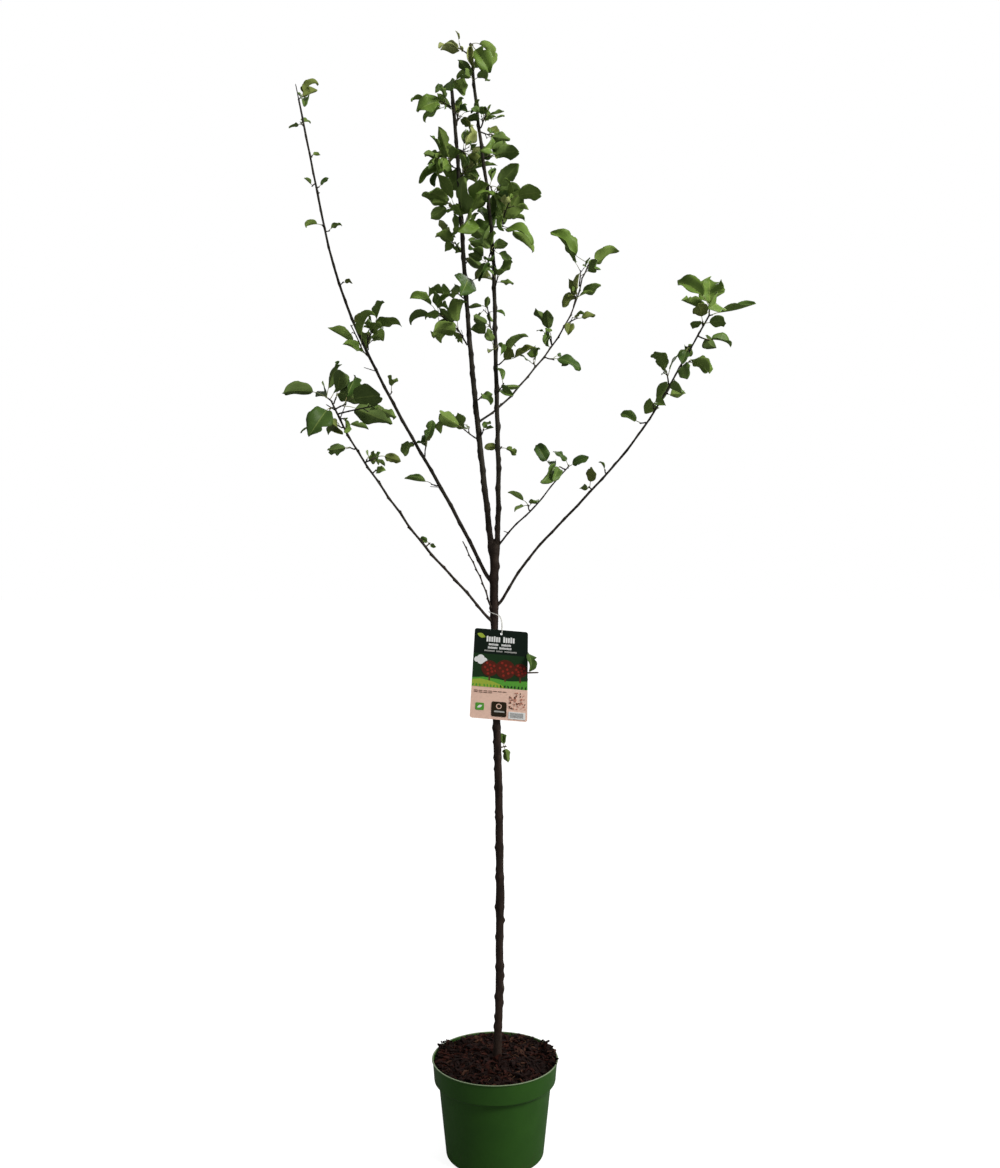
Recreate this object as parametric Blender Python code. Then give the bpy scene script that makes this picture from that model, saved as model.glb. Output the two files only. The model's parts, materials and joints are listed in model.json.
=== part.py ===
"""A young fruit tree in a nursery pot: a slim trunk that forks into two leaders, five light
boughs, a bare twig, sprays of leaves and a hang tag on a string.

Blender 4.5, metres, +Z up. The origin is the middle of the pot's flat underside.
Run it with: blender --background --python part.py
"""

from collections import namedtuple
from math import atan2, cos, exp, pi, radians, sin
from random import Random

import bmesh
import bpy
from mathutils import Matrix, Vector
from mathutils.bvhtree import BVHTree

# ---- sizes in metres, angles in degrees ----

GAP = 0.0003  # air left between two pieces that touch

POT_SIDES = 36
POT_HEIGHT = 0.157
POT_WALL = 0.0013
POT_FLOOR = 0.0016
BASE_RADIUS = 0.0812  # outside, just above the rounded bottom edge
BASE_EDGE = 0.0035
BODY_TOP_RADIUS = 0.0935
BODY_TOP = 0.119
COLLAR_RADIUS = 0.101  # the deep band under the lip
COLLAR_FOOT = 0.123
COLLAR_TOP_RADIUS = 0.1035
LIP_RADIUS = 0.105
LIP_HEIGHT = 0.0018
DRAINS = 6
DRAIN_WIDTH = 0.011
DRAIN_HEIGHT = 0.006  # top of its arch
DRAIN_SPRING = 0.0027  # where its arch starts
DRAIN_BELOW = 0.004  # how far the cutter reaches under the pot
DRAIN_INNER = 0.062  # how far in from the wall each drain starts, from the axis
DRAIN_TURN = 57
DRAIN_ARCH_STEPS = 4

SOIL_CLEARANCE = 0.0006
SOIL_TOP = 0.1577  # flat where the trunk stands
SOIL_AT_WALL = 0.1475
SOIL_FLAT_RADIUS = 0.013
SOIL_RINGS = 5
SOIL_LUMP = 0.0018
SOIL_SEED = 11

TRUNK_SIDES = 8
TRUNK_FOOT_X = 0.0033
TRUNK_LENGTH = 0.8465
TRUNK_RADIUS = 0.0064
ROOT_FLARE = 0.0024  # extra radius where the trunk meets the soil
ROOT_FLARE_HEIGHT = 0.03
FORK_SWELL = 0.0031  # extra radius under the fork
FORK_SWELL_HEIGHT = 0.035
FORK_SPREAD = 0.0047  # each leader's foot from the trunk's middle

LIMB_SIDES = 6
TWIG_SIDES = 3
TWIG_RADIUS = 0.0011
TWIG_TIP_RADIUS = 0.0008
TWIG_COLLAR = 0.0015  # a twig's first stretch, square to what carries it
STALK_RADIUS = 0.0006
BLADE_THICKNESS = 0.017  # share of the blade's length
BLADE_STATIONS = (0.3, 0.68)
WALK_STEPS = 120

# how leaves are dealt round a twig: each is a lowest and a highest value
GOLDEN_TURN = 137.5
LEAFY_SHARE = 0.75  # share of the twig, from its tip, that leaves spread over
LEAF_SPACING = (0.6, 1.2)
LEAF_TURN = (-0.5, 0.5)  # radians either side of the golden turn
LEAF_SPREAD = (15, 95)  # from the twig's direction
LEAF_SIZE = (0.75, 1.15)  # share of the twig's own leaf length
LEAF_STALK = (0.25, 0.5)  # share of the leaf
LEAF_DROOP = (-0.2, 0.6)
LEAF_ROLL = (-70, 70)
LEAF_WIDTH = (0.5, 0.72)  # share of the leaf
LEAF_FOLD = (8, 50)
LEAF_CURL = (-25, 75)

TAG_TOP = (0.0108, -0.0112, 0.8688)
TAG_FOOT = (0.0057, -0.0112, 0.7198)
TAG_TOP_WIDTH = 0.088
TAG_FOOT_WIDTH = 0.0955
TAG_THICKNESS = 0.0006
TAG_CORNER = 0.004
TAG_CORNER_STEPS = 4
TAG_HOLE_RADIUS = 0.0026
TAG_HOLE_DROP = 0.0066
TAG_SLOPE = 0.082  # the tag hangs a little askew, its right side lower
STRING_RADIUS = 0.0007
STRING_POINTS = 32
# the string's loop: out of the hole, up and round behind the trunk, over its front and down again
STRING_ROUTE = (
    (0.0112, -0.0131, 0.8622),
    (0.0118, -0.0128, 0.8690),
    (0.0124, -0.0095, 0.8790),
    (0.0100, 0.0000, 0.8890),
    (0.0050, 0.0082, 0.8935),
    (-0.0030, 0.0095, 0.8965),
    (-0.0098, 0.0045, 0.8985),
    (-0.0098, -0.0045, 0.8985),
    (-0.0035, -0.0092, 0.8965),
    (0.0040, -0.0092, 0.8935),
    (0.0095, -0.0088, 0.8870),
    (0.0108, -0.0086, 0.8750),
    (0.0112, -0.0090, 0.8640),
)

# A limb grows from a foot on its parent, leaning from the vertical towards its heading
# (0 is +X, 90 is +Y). The lean passes evenly through the values given, foot to tip. The limb
# steps sideways by its sway at each bud. "bare" is the share of it that is a limb of its own:
# past that it is the stem of its last spray.
LimbPlan = namedtuple(
    "LimbPlan", "parent height collar heading leans length foot tip sway bud_gap seed bare"
)
LIMBS = {
    "leader_left": LimbPlan("trunk", None, 0, 165, (6.9, 6.4, 4.6, 3.2, 5.8), 0.785, 0.0049,
                            0.0027, 0.0006, 0.033, 2, 0.893),
    "leader_right": LimbPlan("trunk", None, 0, 205, (-2.2, 2.0, 0.9, 8.9, 5.5), 0.833, 0.0042,
                             0.0023, 0.0006, 0.033, 3, 0.82),
    "bough_low_left": LimbPlan("trunk", 0.8878, 0.005, 208, (41, 47, 38, 37, 25), 0.437, 0.00225,
                               0.0015, 0.0007, 0.03, 4, 0.65),
    "bough_long_left": LimbPlan("trunk", 0.9546, 0.005, 155, (28, 33, 28, 13, 13), 0.96, 0.0032,
                                0.0017, 0.0008, 0.035, 5, 0.63),
    "bough_right": LimbPlan("trunk", 0.9134, 0.005, 335, (29, 47, 45, 32, 31), 0.567, 0.0023,
                            0.0013, 0.0007, 0.03, 6, 0.63),
    "bough_short_right": LimbPlan("leader_right", 1.014, 0.003, 322, (42, 57, 44, 52), 0.178,
                                  0.0015, 0.001, 0.0005, 0.022, 7, 0.7),
    "bough_high_right": LimbPlan("leader_left", 1.2197, 0.003, 35, (60, 44, 42, 32, 13), 0.357,
                                 0.0018, 0.0012, 0.0006, 0.026, 8, 0.55),
    "bare_twig": LimbPlan("trunk", 0.9066, 0.0025, 225, (19, 34, 34), 0.125, 0.0014, 0.0009,
                          0.0004, 0.014, 9, 1.0),
}
TRUNK_LEANS = (-2.7, -0.2, 0.2, 2.0, 1.1, -0.6)

# A twig grows on a limb, or on another twig, part of the way along it. It reaches out towards its
# heading and carries leaves of about one length, dealt round it by its seed.
Twig = namedtuple("Twig", "name on part heading lean reach leaves leaf seed")
TWIGS = (
    Twig("low_left_1", "bough_low_left", 0.372, 30, 45, 0.004, 2, 0.016, 970),
    Twig("low_left_2", "bough_low_left", 0.708, 355, 40, 0.002, 1, 0.023, 107),
    Twig("low_left_3", "bough_low_left", 0.755, 30, 65, 0.02, 3, 0.025, 96),
    Twig("low_left_4", "bough_low_left", 0.815, 165, 70, 0.007, 2, 0.038, 596),
    Twig("low_left_5", "bough_low_left", 0.902, 200, 60, 0.004, 2, 0.034, 631),
    Twig("low_left_6", "bough_low_left", 0.97, 355, 65, 0.013, 3, 0.061, 549),
    Twig("low_left_7", "bough_low_left", 0.978, 200, 110, 0.002, 2, 0.052, 47),
    Twig("low_left_8", "bough_low_left", 1.0, 135, 60, 0.015, 4, 0.065, 103),
    Twig("low_left_9", "bough_low_left", 0.99, 60, 25, 0.009, 2, 0.06, 357),
    Twig("long_left_1", "bough_long_left", 0.193, 145, 75, 0.011, 1, 0.035, 500),
    Twig("long_left_2", "bough_long_left", 0.253, 90, 35, 0.022, 2, 0.047, 629),
    Twig("long_left_3", "bough_long_left", 0.28, 210, 60, 0.004, 1, 0.035, 167),
    Twig("long_left_4", "bough_long_left", 0.39, 45, 35, 0.002, 1, 0.035, 991),
    Twig("long_left_5", "bough_long_left", 0.472, 225, 55, 0.019, 3, 0.054, 842),
    Twig("long_left_6", "bough_long_left", 0.487, 105, 20, 0.029, 4, 0.058, 636),
    Twig("long_left_7", "bough_long_left", 0.627, 0, 40, 0.002, 1, 0.015, 554),
    Twig("long_left_8", "bough_long_left", 0.735, 40, 65, 0.003, 1, 0.027, 845),
    Twig("long_left_9", "bough_long_left", 0.743, 245, 65, 0.002, 1, 0.024, 940),
    Twig("long_left_10", "bough_long_left", 0.823, 60, 50, 0.002, 1, 0.02, 89),
    Twig("long_left_11", "bough_long_left", 0.83, 160, 125, 0.002, 1, 0.021, 720),
    Twig("long_left_12", "bough_long_left", 0.885, 70, 35, 0.002, 1, 0.014, 448),
    Twig("long_left_13", "bough_long_left", 0.948, 125, 50, 0.011, 2, 0.021, 411),
    Twig("long_left_14", "bough_long_left", 1.0, 345, 60, 0.006, 3, 0.046, 215),
    Twig("right_1", "bough_right", 0.43, 135, 50, 0.002, 2, 0.032, 930),
    Twig("right_2", "bough_right", 0.492, 240, 0, 0.002, 1, 0.013, 814),
    Twig("right_3", "bough_right", 0.67, 140, 95, 0.007, 1, 0.028, 564),
    Twig("right_4", "bough_right", 0.715, 175, 5, 0.004, 2, 0.037, 976),
    Twig("right_5", "bough_right", 0.762, 0, 35, 0.014, 2, 0.05, 923),
    Twig("right_6", "bough_right", 0.792, 150, 10, 0.018, 3, 0.037, 909),
    Twig("right_7", "bough_right", 0.85, 335, 60, 0.012, 3, 0.036, 775),
    Twig("right_8", "bough_right", 0.905, 160, 105, 0.003, 2, 0.037, 745),
    Twig("right_9", "bough_right", 0.94, 20, 105, 0.015, 2, 0.044, 753),
    Twig("right_10", "bough_right", 0.97, 315, 25, 0.002, 2, 0.032, 126),
    Twig("right_11", "bough_right", 1.0, 270, 15, 0.012, 4, 0.056, 886),
    Twig("short_right_1", "bough_short_right", 0.445, 240, 25, 0.006, 3, 0.026, 88),
    Twig("short_right_2", "bough_short_right", 0.868, 195, 30, 0.015, 3, 0.045, 235),
    Twig("short_right_3", "bough_short_right", 1.0, 35, 25, 0.002, 2, 0.033, 266),
    Twig("high_right_1", "bough_high_right", 0.435, 165, 25, 0.002, 3, 0.027, 816),
    Twig("high_right_2", "bough_high_right", 0.51, 5, 105, 0.012, 2, 0.044, 612),
    Twig("high_right_3", "bough_high_right", 0.588, 230, 30, 0.021, 3, 0.036, 760),
    Twig("high_right_4", "bough_high_right", 0.728, 325, 70, 0.022, 3, 0.024, 529),
    Twig("high_right_5", "bough_high_right", 0.838, 345, 15, 0.021, 4, 0.028, 861),
    Twig("high_right_6", "bough_high_right", 0.89, 75, 55, 0.006, 1, 0.033, 915),
    Twig("high_right_7", "bough_high_right", 1.0, 50, 35, 0.038, 2, 0.068, 124),
    Twig("leader_left_1", "leader_left", 0.237, 195, 55, 0.029, 3, 0.058, 985),
    Twig("leader_left_2", "leader_left", 0.242, 310, 35, 0.008, 2, 0.019, 821),
    Twig("leader_left_3", "leader_left", 0.318, 25, 40, 0.006, 2, 0.037, 375),
    Twig("leader_left_4", "leader_left", 0.438, 160, 30, 0.031, 3, 0.057, 762),
    Twig("leader_left_4b", "leader_left_4", 0.9, 185, 50, 0.051, 2, 0.039, 413),
    Twig("leader_left_5", "leader_left", 0.537, 205, 55, 0.011, 2, 0.066, 418),
    Twig("leader_left_6", "leader_left", 0.568, 315, 95, 0.006, 2, 0.064, 466),
    Twig("leader_left_7", "leader_left", 0.615, 55, 50, 0.004, 2, 0.044, 576),
    Twig("leader_left_8", "leader_left", 0.64, 145, 35, 0.019, 2, 0.043, 199),
    Twig("leader_left_9", "leader_left", 0.68, 295, 40, 0.013, 3, 0.059, 666),
    Twig("leader_left_10", "leader_left", 0.725, 185, 45, 0.011, 3, 0.048, 909),
    Twig("leader_left_11", "leader_left", 0.818, 180, 60, 0.011, 4, 0.046, 832),
    Twig("leader_left_12", "leader_left", 0.858, 25, 110, 0.01, 3, 0.047, 600),
    Twig("leader_left_13", "leader_left", 0.912, 65, 10, 0.019, 2, 0.018, 810),
    Twig("leader_left_14", "leader_left", 0.948, 230, 90, 0.024, 4, 0.044, 21),
    Twig("leader_left_15", "leader_left", 1.0, 340, 30, 0.003, 3, 0.036, 775),
    Twig("leader_right_1", "leader_right", 0.198, 70, 65, 0.013, 2, 0.022, 331),
    Twig("leader_right_2", "leader_right", 0.312, 310, 45, 0.015, 3, 0.031, 394),
    Twig("leader_right_3", "leader_right", 0.367, 340, 55, 0.012, 3, 0.042, 709),
    Twig("leader_right_4", "leader_right", 0.393, 255, 60, 0.008, 4, 0.029, 956),
    Twig("leader_right_5", "leader_right", 0.438, 180, 35, 0.006, 2, 0.036, 107),
    Twig("leader_right_6", "leader_right", 0.52, 290, 45, 0.017, 3, 0.03, 185),
    Twig("leader_right_7", "leader_right", 0.56, 210, 65, 0.009, 3, 0.035, 738),
    Twig("leader_right_8", "leader_right", 0.615, 230, 30, 0.002, 2, 0.068, 213),
    Twig("leader_right_9", "leader_right", 0.64, 335, 95, 0.015, 3, 0.056, 791),
    Twig("leader_right_9b", "leader_right_9", 0.8, 295, 50, 0.048, 2, 0.05, 220),
    Twig("leader_right_10", "leader_right", 0.703, 325, 70, 0.005, 3, 0.043, 149),
    Twig("leader_right_11", "leader_right", 0.777, 345, 65, 0.005, 3, 0.05, 297),
    Twig("leader_right_12", "leader_right", 0.835, 310, 35, 0.021, 3, 0.021, 618),
    Twig("leader_right_13", "leader_right", 0.915, 245, 15, 0.01, 3, 0.037, 898),
    Twig("leader_right_14", "leader_right", 1.0, 5, 115, 0.002, 4, 0.047, 650),
    Twig("leader_right_15", "leader_right", 0.978, 190, 60, 0.018, 2, 0.037, 614),
    Twig("trunk_1", "trunk", 0.78, 10, 70, 0.047, 2, 0.034, 41),
    Twig("trunk_2", "trunk", 0.608, 20, 80, 0.004, 2, 0.024, 130),
    Twig("low_left_10", "bough_low_left", 0.93, 335, 85, 0.003, 2, 0.035, 613),
    Twig("low_left_12", "bough_low_left", 0.95, 350, 80, 0.06, 1, 0.024, 865),
    Twig("low_left_13", "bough_low_left", 0.755, 70, 40, 0.003, 1, 0.036, 519),
    Twig("long_left_5b", "long_left_5", 0.8, 175, 25, 0.047, 1, 0.03, 930),
    Twig("long_left_6b", "long_left_6", 0.6, 300, 55, 0.041, 1, 0.034, 15),
    Twig("right_12", "bough_right", 1.0, 35, 75, 0.005, 1, 0.062, 117),
    Twig("right_13", "bough_right", 0.97, 70, 35, 0.003, 1, 0.041, 458),
    Twig("right_14", "bough_right", 0.762, 30, 60, 0.003, 1, 0.032, 693),
    Twig("short_right_4", "bough_short_right", 0.97, 210, 70, 0.007, 1, 0.03, 782),
    Twig("high_right_8", "bough_high_right", 0.958, 65, 15, 0.028, 2, 0.047, 202),
    Twig("high_right_9", "bough_high_right", 0.588, 260, 45, 0.013, 1, 0.035, 742),
    Twig("leader_left_4c", "leader_left_4", 0.3, 120, 30, 0.009, 1, 0.036, 775),
    Twig("leader_left_4d", "leader_left_4", 0.9, 235, 55, 0.005, 1, 0.034, 604),
    Twig("leader_left_9b", "leader_left_9", 0.8, 25, 125, 0.003, 2, 0.054, 350),
    Twig("leader_left_11b", "leader_left_11", 0.5, 190, 75, 0.015, 2, 0.03, 614),
    Twig("leader_left_12b", "leader_left_12", 0.7, 305, 20, 0.003, 1, 0.047, 479),
    Twig("leader_left_16", "leader_left", 0.8, 45, 35, 0.013, 4, 0.053, 762),
    Twig("leader_left_17", "leader_left", 0.988, 175, 70, 0.009, 1, 0.028, 832),
    Twig("leader_right_5b", "leader_right_5", 0.7, 120, 15, 0.035, 1, 0.029, 264),
    Twig("leader_right_7b", "leader_right_7", 0.9, 290, 45, 0.027, 1, 0.03, 970),
    Twig("leader_right_16", "leader_right", 0.723, 35, 115, 0.003, 4, 0.049, 588),
    Twig("leader_right_17", "leader_right", 0.828, 35, 95, 0.013, 1, 0.042, 228),
)


# ---- vectors and curves ----


def leaning(heading, lean):
    """Unit vector that leans from the vertical towards a heading."""
    turn = radians(heading)
    tilt = radians(lean)
    return Vector((sin(tilt) * cos(turn), sin(tilt) * sin(turn), cos(tilt)))


def between(values, part):
    """Value at a part, 0 to 1, of the way along evenly spaced values."""
    place = min(max(part, 0.0), 1.0) * (len(values) - 1)
    low = min(int(place), len(values) - 2)
    return values[low] + (values[low + 1] - values[low]) * (place - low)


def off_axis(axis):
    """A direction that is never along the axis: up, or +X for an axis that is nearly upright."""
    return Vector((0, 0, 1)) if abs(axis.z) < 0.97 else Vector((1, 0, 0))


def across(axis, towards):
    """Unit vector square to an axis, on the side of another vector."""
    return (towards - axis * towards.dot(axis)).normalized()


class Limb:
    """The centre line and thickness of one tapering limb."""

    def __init__(self, foot, plan, extra=None):
        self.length = plan.length
        self.thickness = (plan.foot, plan.tip)
        self.extra = extra or (lambda part: 0.0)
        self.bare = plan.bare
        self.walk = [foot.copy()]
        for step in range(WALK_STEPS):
            lean = between(plan.leans, (step + 0.5) / WALK_STEPS)
            stride = leaning(plan.heading, lean) * (plan.length / WALK_STEPS)
            self.walk.append(self.walk[-1] + stride)
        dice = Random(plan.seed)
        self.buds = max(2, round(plan.length / plan.bud_gap))
        sideways = [plan.sway * dice.uniform(0.5, 1.2) * (-1) ** bud for bud in range(1, self.buds)]
        self.sways = [0.0] + sideways + [0.0]
        self.side = Vector((0, 0, 1)).cross(leaning(plan.heading, 90)).normalized()

    def centre(self, part):
        place = min(max(part, 0.0), 1.0) * WALK_STEPS
        low = min(int(place), WALK_STEPS - 1)
        direction = (self.walk[low + 1] - self.walk[low]).normalized()
        sideways = (direction.cross(self.side).normalized() + self.side).normalized()
        middle = self.walk[low].lerp(self.walk[low + 1], place - low)
        return middle + sideways * between(self.sways, part)

    def direction(self, part):
        return (self.centre(min(part + 0.01, 1.0)) - self.centre(max(part - 0.01, 0.0))).normalized()

    def radius(self, part):
        foot, tip = self.thickness
        return foot + (tip - foot) * part + self.extra(part)

    def part_at_height(self, height):
        low, high = 0.0, 1.0
        for _ in range(30):
            middle = (low + high) / 2
            if self.centre(middle).z < height:
                low = middle
            else:
                high = middle
        return low


# ---- meshes ----


def material_for(name, colour, roughness):
    material = bpy.data.materials.new(name)
    material.use_nodes = True
    shader = material.node_tree.nodes["Principled BSDF"]
    shader.inputs["Base Color"].default_value = (*colour, 1)
    shader.inputs["Roughness"].default_value = roughness
    shader.inputs["Metallic"].default_value = 0.0
    return material


def object_from(name, verts, faces, material=None):
    mesh = bpy.data.meshes.new(name)
    mesh.from_pydata([tuple(vert) for vert in verts], [], faces)
    shape = bmesh.new()
    shape.from_mesh(mesh)
    bmesh.ops.recalc_face_normals(shape, faces=shape.faces)
    shape.to_mesh(mesh)
    shape.free()
    thing = bpy.data.objects.new(name, mesh)
    bpy.context.scene.collection.objects.link(thing)
    if material:
        mesh.materials.append(material)
    return thing


def tube(points, radii, sides, start=None):
    """Corners and faces of a closed tube. Its first ring is square to start, if that is given."""
    verts = []
    normal = None
    for place, point in enumerate(points):
        before = points[max(place - 1, 0)]
        after = points[min(place + 1, len(points) - 1)]
        axis = (after - before).normalized()
        if place == 0 and start:
            axis = start
        elif 0 < place < len(points) - 1:
            axis = ((after - point).normalized() + (point - before).normalized()).normalized()
        normal = across(axis, normal or off_axis(axis))
        binormal = axis.cross(normal)
        for side in range(sides):
            turn = 2 * pi * side / sides
            verts.append(point + (normal * cos(turn) + binormal * sin(turn)) * radii[place])
    faces = [tuple(range(sides)), tuple(range(len(verts) - sides, len(verts)))]
    for ring in range(len(points) - 1):
        for side in range(sides):
            low = ring * sides + side
            high = ring * sides + (side + 1) % sides
            faces.append((low, high, high + sides, low + sides))
    return verts, faces


def turned(name, profile, sides, material):
    """A solid spun from a profile of (radius, height) that starts and ends on the axis."""
    shape = bmesh.new()
    corners = [shape.verts.new((radius, 0, height)) for radius, height in profile]
    edges = [shape.edges.new(pair) for pair in zip(corners, corners[1:])]
    bmesh.ops.spin(shape, geom=corners + edges, cent=(0, 0, 0), axis=(0, 0, 1), angle=2 * pi,
                   steps=sides, use_merge=True, use_duplicate=False)
    bmesh.ops.remove_doubles(shape, verts=shape.verts, dist=1e-6)
    bmesh.ops.recalc_face_normals(shape, faces=shape.faces)
    mesh = bpy.data.meshes.new(name)
    shape.to_mesh(mesh)
    shape.free()
    mesh.shade_smooth()
    mesh.set_sharp_from_angle(angle=radians(35))
    mesh.materials.append(material)
    thing = bpy.data.objects.new(name, mesh)
    bpy.context.scene.collection.objects.link(thing)
    return thing


def apply_boolean(target, operation, cutter=None, collection=None):
    """Runs one Boolean on the target and keeps its result as the target's mesh."""
    modifier = target.modifiers.new("join", "BOOLEAN")
    modifier.operation = operation
    if collection:
        modifier.operand_type = "COLLECTION"
        modifier.collection = collection
    else:
        modifier.object = cutter
    graph = bpy.context.evaluated_depsgraph_get()
    graph.update()
    joined = bpy.data.meshes.new_from_object(target.evaluated_get(graph))
    target.modifiers.clear()
    target.data = joined


# ---- pot and root ball ----


def make_pot():
    edge = BASE_EDGE * 0.7
    profile = [
        (0, 0),
        (BASE_RADIUS - BASE_EDGE, 0),
        (BASE_RADIUS - BASE_EDGE + edge, BASE_EDGE - edge),
        (BASE_RADIUS, BASE_EDGE),
        (BODY_TOP_RADIUS, BODY_TOP),
        (COLLAR_RADIUS, COLLAR_FOOT),
        (COLLAR_TOP_RADIUS, POT_HEIGHT - LIP_HEIGHT),
        (LIP_RADIUS, POT_HEIGHT - LIP_HEIGHT * 0.7),
        (LIP_RADIUS, POT_HEIGHT - LIP_HEIGHT * 0.25),
        (LIP_RADIUS - 0.0006, POT_HEIGHT),
        (COLLAR_TOP_RADIUS - POT_WALL * 0.6, POT_HEIGHT),
        (COLLAR_TOP_RADIUS - POT_WALL, POT_HEIGHT - 0.001),
        (COLLAR_RADIUS - POT_WALL, COLLAR_FOOT + POT_WALL * 0.3),
        (BODY_TOP_RADIUS - POT_WALL, BODY_TOP + POT_WALL * 0.3),
        (BASE_RADIUS - POT_WALL, BASE_EDGE + POT_WALL),
        (BASE_RADIUS - BASE_EDGE - POT_WALL * 0.5, POT_FLOOR),
        (0, POT_FLOOR),
    ]
    pot = turned("pot", profile, POT_SIDES, material_for("pot green", (0.035, 0.13, 0.03), 0.45))
    cutter = make_drain_cutter()
    apply_boolean(pot, "DIFFERENCE", cutter=cutter)
    bpy.data.objects.remove(cutter)
    return pot


def make_drain_cutter():
    """Arched slots round the bottom corner, as one mesh."""
    arch = [(-DRAIN_WIDTH / 2, -DRAIN_BELOW), (DRAIN_WIDTH / 2, -DRAIN_BELOW)]
    for step in range(DRAIN_ARCH_STEPS + 1):
        turn = pi * step / DRAIN_ARCH_STEPS
        rise = (DRAIN_HEIGHT - DRAIN_SPRING) * sin(turn)
        arch.append((DRAIN_WIDTH / 2 * cos(turn), DRAIN_SPRING + rise))
    verts = []
    faces = []
    for drain in range(DRAINS):
        turn = Matrix.Rotation(radians(360 / DRAINS * drain + DRAIN_TURN), 3, "Z")
        first = len(verts)
        for reach in (DRAIN_INNER, LIP_RADIUS):
            verts += [turn @ Vector((reach, wide, high)) for wide, high in arch]
        count = len(arch)
        faces.append(tuple(range(first, first + count)))
        faces.append(tuple(range(first + count, first + 2 * count)))
        for low in range(count):
            high = (low + 1) % count
            faces.append((first + low, first + high, first + high + count, first + low + count))
    return object_from("drain cutter", verts, faces)


def make_root_ball():
    """The filled inside of the pot, lumpy on top and flat under the trunk."""
    dice = Random(SOIL_SEED)
    wall = COLLAR_TOP_RADIUS - POT_WALL - SOIL_CLEARANCE
    lean_in = (COLLAR_TOP_RADIUS - COLLAR_RADIUS) / (POT_HEIGHT - LIP_HEIGHT - COLLAR_FOOT)
    edge = wall - (POT_HEIGHT - SOIL_AT_WALL) * lean_in - GAP
    profile = [
        (0, POT_FLOOR + SOIL_CLEARANCE),
        (BASE_RADIUS - BASE_EDGE - POT_WALL - SOIL_CLEARANCE * 2, POT_FLOOR + SOIL_CLEARANCE),
        (BASE_RADIUS - POT_WALL - SOIL_CLEARANCE * 2, BASE_EDGE + POT_WALL + SOIL_CLEARANCE),
        (BODY_TOP_RADIUS - POT_WALL - SOIL_CLEARANCE * 2, BODY_TOP),
        (COLLAR_RADIUS - POT_WALL - SOIL_CLEARANCE * 2, COLLAR_FOOT + POT_WALL),
        (edge, SOIL_AT_WALL),
    ]
    for ring in range(1, SOIL_RINGS):
        part = ring / SOIL_RINGS
        radius = edge + (SOIL_FLAT_RADIUS - edge) * part
        profile.append((radius, SOIL_AT_WALL + (SOIL_TOP - SOIL_AT_WALL) * sin(pi / 2 * part)))
    profile += [(SOIL_FLAT_RADIUS, SOIL_TOP), (0, SOIL_TOP)]
    soil = turned("root_ball", profile, POT_SIDES, material_for("soil brown", (0.03, 0.012, 0.008), 0.95))
    for vert in soil.data.vertices:
        radius = vert.co.xy.length
        on_top = vert.co.z > SOIL_AT_WALL + 0.0001 and radius > SOIL_FLAT_RADIUS + 0.0001
        if on_top:
            vert.co.z += dice.uniform(-1.0, 1.0) * SOIL_LUMP
    return soil


# ---- trunk and limbs ----


def trunk_line():
    plan = LimbPlan(None, None, None, 180, TRUNK_LEANS, TRUNK_LENGTH, TRUNK_RADIUS, TRUNK_RADIUS,
                    0.0, 0.05, 1, 1.0)

    def swelling(part):
        up = part * TRUNK_LENGTH
        flare = ROOT_FLARE * exp(-up / ROOT_FLARE_HEIGHT * 3)
        return flare + FORK_SWELL * exp((up - TRUNK_LENGTH) / FORK_SWELL_HEIGHT * 2)

    return Limb(Vector((TRUNK_FOOT_X, 0, SOIL_TOP + GAP)), plan, swelling)


def limb_lines(trunk):
    """Every limb's centre line by name, and the point and direction its foot is cut at."""
    lines = {"trunk": trunk}
    feet = {}
    top = trunk.centre(1)
    for name, spread in (("leader_left", -FORK_SPREAD), ("leader_right", FORK_SPREAD)):
        lines[name] = Limb(top + Vector((spread, 0, GAP)), LIMBS[name])
        feet[name] = None
    for name, plan in LIMBS.items():
        if name in lines:
            continue
        parent = lines[plan.parent]
        part = parent.part_at_height(plan.height)
        outward = leaning(plan.heading, 90)
        surface = parent.centre(part) + outward * (parent.radius(part) + GAP)
        feet[name] = (surface, outward)
        lines[name] = Limb(surface + outward * plan.collar, plan)
    return lines, feet


def rings_of(line, start, end, spacing):
    count = max(2, round(line.length * (end - start) / spacing))
    return [start + (end - start) * step / count for step in range(count + 1)]


def make_trunk(trunk, material):
    count = 16
    parts = [0, 0.008, 0.02, 0.04] + [0.04 + 0.96 * step / count for step in range(1, count)]
    parts += [0.985, 1]
    points = [trunk.centre(part) for part in parts]
    radii = [trunk.radius(part) for part in parts]
    points[0].z = SOIL_TOP + GAP
    verts, faces = tube(points, radii, TRUNK_SIDES, start=Vector((0, 0, 1)))
    top = points[-1].z
    for vert in verts[-TRUNK_SIDES:]:
        vert.z = top
    return object_from("trunk", verts, faces, material)


def limb_tube(line, foot, plan, start=0.0, end=1.0, sides=LIMB_SIDES):
    parts = rings_of(line, start, end, plan.bud_gap)
    points = [line.centre(part) for part in parts]
    radii = [line.radius(part) for part in parts]
    first = None
    if foot:
        surface, first = foot
        points.insert(0, surface)
        radii.insert(0, radii[0] * 1.1)
    elif start == 0.0:
        first = Vector((0, 0, 1))
    return tube(points, radii, sides, start=first)


def make_limbs(lines, feet, material):
    made = [make_trunk(lines["trunk"], material)]
    for name, plan in LIMBS.items():
        verts, faces = limb_tube(lines[name], feet[name], plan, end=plan.bare)
        made.append(object_from(name, verts, faces, material))
    return made


# ---- twigs and leaves ----

Leaf = namedtuple("Leaf", "start base direction roll length width fold curl")


def half_width(part):
    """Half of a blade's width, as a share of the widest, part of the way from base to tip."""
    return sin(pi * part**0.85) ** 0.75 if 0 < part < 1 else 0.0


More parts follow.
